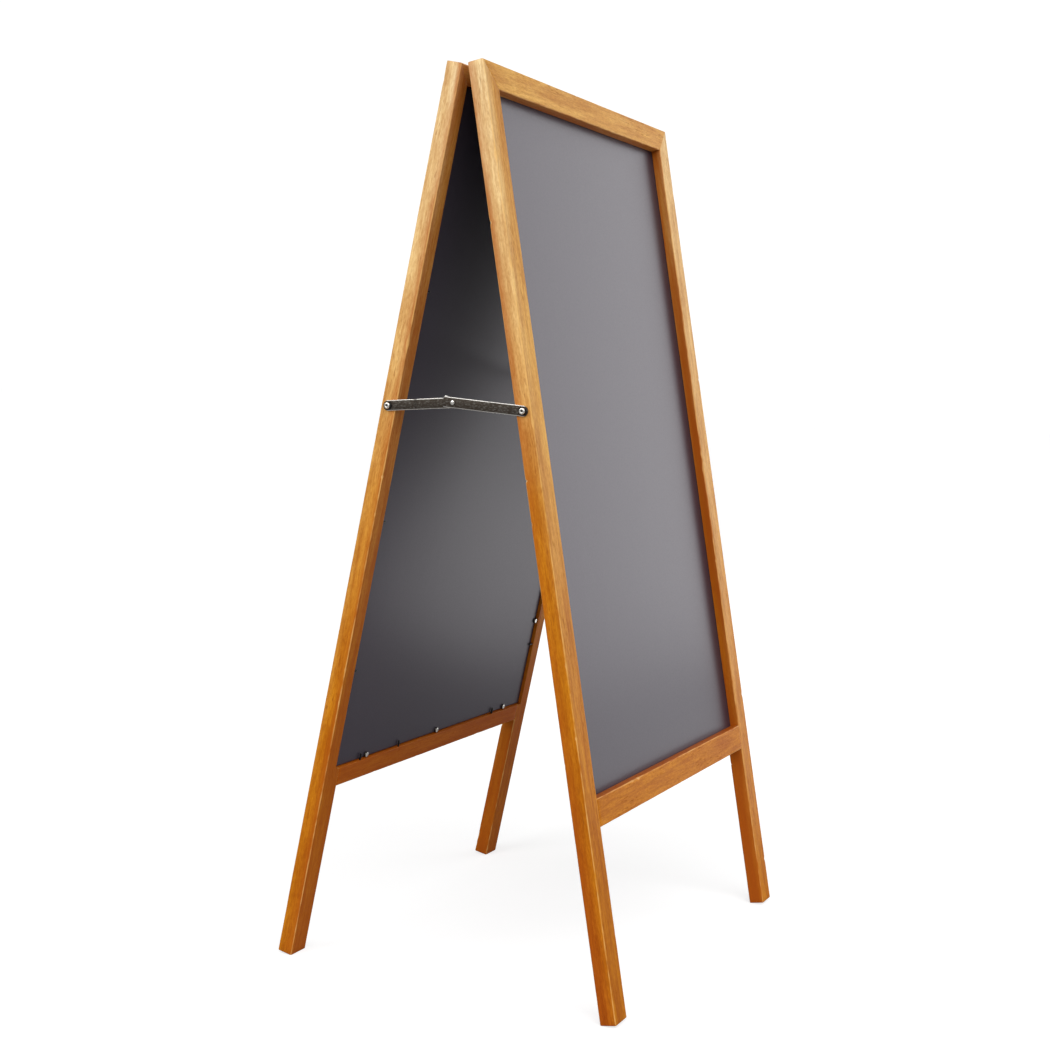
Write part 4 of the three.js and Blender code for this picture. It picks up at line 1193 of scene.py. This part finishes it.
class SANDWICHBOARD_OT_stage(bpy.types.Operator):
    """Make the floor, the lights and the camera"""

    bl_idname = "sandwichboard.stage"
    bl_label = "Stage"

    def execute(self, context):
        settings = context.scene.board_stage
        self.make_floor(settings)
        self.make_surround(settings)
        self.make_key_light(settings)
        self.make_softbox("Softbox", settings.softbox, (3.0, -1.5, 1.45), (0, 0, 0.75), 3.0, 2.5)
        self.make_softbox("Left Softbox", settings.left_softbox, (-2.3, 1.2, 2.1), (0, 0, 1.25), 1.6, 1.8)
        self.make_softbox("Bounce Card", settings.bounce_card, (2.2, -1.1, 0.01), (2.2, -1.1, 1), 2.5, 1.8)
        self.make_camera(settings)
        context.scene.view_settings.view_transform = "Standard"
        return {"FINISHED"}

    def make_floor(self, settings):
        mesh = bpy.data.meshes.new("Floor")
        corners = [(-1, -1), (1, -1), (1, 1), (-1, 1)]
        mesh.from_pydata([(FLOOR_REACH * x, FLOOR_REACH * y, 0) for x, y in corners], [], [(0, 1, 2, 3)])
        floor = in_scene("Floor", mesh)
        paper = Finish("Floor Paper")
        paper.set(colour=settings.floor_colour, roughness=0.8, gloss=0.2)
        shown = paper.node("LightPath", {}, "Is Camera Ray")
        paper.plug(paper.surface.inputs["Emission Color"], (1, 1, 1))
        glow = paper.maths("MULTIPLY", shown, settings.floor_glow)
        paper.plug(paper.surface.inputs["Emission Strength"], glow)
        mesh.materials.append(paper.material)

    def make_surround(self, settings):
        """White all around; it lights the board less than it shows"""
        world = bpy.data.worlds.new("White Surround")
        world.use_nodes = True
        tree = world.node_tree
        shown = tree.nodes["Background"]
        lighting = tree.nodes.new("ShaderNodeBackground")
        for background, strength in ((shown, SURROUND_SHOWN), (lighting, settings.surround)):
            background.inputs["Color"].default_value = (1, 1, 1, 1)
            background.inputs["Strength"].default_value = strength
        either = tree.nodes.new("ShaderNodeMixShader")
        tree.links.new(tree.nodes.new("ShaderNodeLightPath").outputs["Is Camera Ray"], either.inputs["Fac"])
        tree.links.new(lighting.outputs["Background"], either.inputs[1])
        tree.links.new(shown.outputs["Background"], either.inputs[2])
        tree.links.new(either.outputs["Shader"], tree.nodes["World Output"].inputs["Surface"])
        bpy.context.scene.world = world

    def make_key_light(self, settings):
        lamp = bpy.data.lights.new("Key Light", "SUN")
        lamp.energy = settings.key_light
        lamp.angle = math.radians(70)
        key_light = in_scene("Key Light", lamp)
        key_light.rotation_euler = Vector((0.62, 0.55, -0.75)).to_track_quat("-Z", "Y").to_euler()

    def make_softbox(self, name, power, place, target, width, height):
        lamp = bpy.data.lights.new(name, "AREA")
        lamp.shape = "RECTANGLE"
        lamp.size = width
        lamp.size_y = height
        lamp.energy = power
        softbox = in_scene(name, lamp)
        softbox.location = place
        softbox.visible_camera = False
        aim = Vector(target) - Vector(place)
        softbox.rotation_euler = aim.to_track_quat("-Z", "Y").to_euler()

    def make_camera(self, settings):
        heading, tilt, roll = settings.camera_heading, settings.camera_tilt, settings.camera_roll
        ahead = math.cos(tilt)
        forward = Vector((math.sin(heading) * ahead, math.cos(heading) * ahead, math.sin(tilt)))
        level_right = Vector((math.cos(heading), -math.sin(heading), 0))
        level_up = level_right.cross(forward)
        right = math.cos(roll) * level_right + math.sin(roll) * level_up
        up = math.cos(roll) * level_up - math.sin(roll) * level_right
        data = bpy.data.cameras.new("Camera")
        data.sensor_width = 36
        data.lens = settings.lens
        camera = in_scene("Camera", data)
        camera.matrix_world = Matrix.Translation(settings.camera_place) @ axes_of(right, up, -forward)
        bpy.context.scene.camera = camera


# ---------------------------------------------------------------- add-on

OPERATORS = (
    SANDWICHBOARD_OT_stage, SANDWICHBOARD_OT_wooden_frames, SANDWICHBOARD_OT_chalkboards,
    SANDWICHBOARD_OT_panel_fixings, SANDWICHBOARD_OT_hinges, SANDWICHBOARD_OT_stays)
SETTINGS = {
    "board_wood": WoodSettings, "board_chalkboard": ChalkboardSettings,
    "board_steel": SteelSettings, "board_stage": StageSettings}


class SANDWICHBOARD_PT_parts(bpy.types.Panel):
    """Lists the board's pieces and their settings"""

    bl_idname = "SANDWICHBOARD_PT_parts"
    bl_label = "Sandwich Board"
    bl_space_type = "VIEW_3D"
    bl_region_type = "UI"
    bl_category = "Sandwich Board"

    def draw(self, context):
        for operator in OPERATORS:
            self.layout.operator(operator.bl_idname)
        for name, group in SETTINGS.items():
            box = self.layout.box()
            for setting in group.__annotations__:
                box.prop(getattr(context.scene, name), setting)


def register():
    for group in SETTINGS.values():
        bpy.utils.register_class(group)
    for name, group in SETTINGS.items():
        setattr(bpy.types.Scene, name, bpy.props.PointerProperty(type=group))
    for operator in OPERATORS:
        bpy.utils.register_class(operator)
    bpy.utils.register_class(SANDWICHBOARD_PT_parts)


def unregister():
    bpy.utils.unregister_class(SANDWICHBOARD_PT_parts)
    for operator in reversed(OPERATORS):
        bpy.utils.unregister_class(operator)
    for name in SETTINGS:
        delattr(bpy.types.Scene, name)
    for group in reversed(SETTINGS.values()):
        bpy.utils.unregister_class(group)


def main():
    register()
    bpy.ops.sandwichboard.stage()
    bpy.ops.sandwichboard.wooden_frames()
    bpy.ops.sandwichboard.chalkboards()
    bpy.ops.sandwichboard.panel_fixings()
    bpy.ops.sandwichboard.hinges()
    bpy.ops.sandwichboard.stays()


if __name__ == "__main__":
    main()
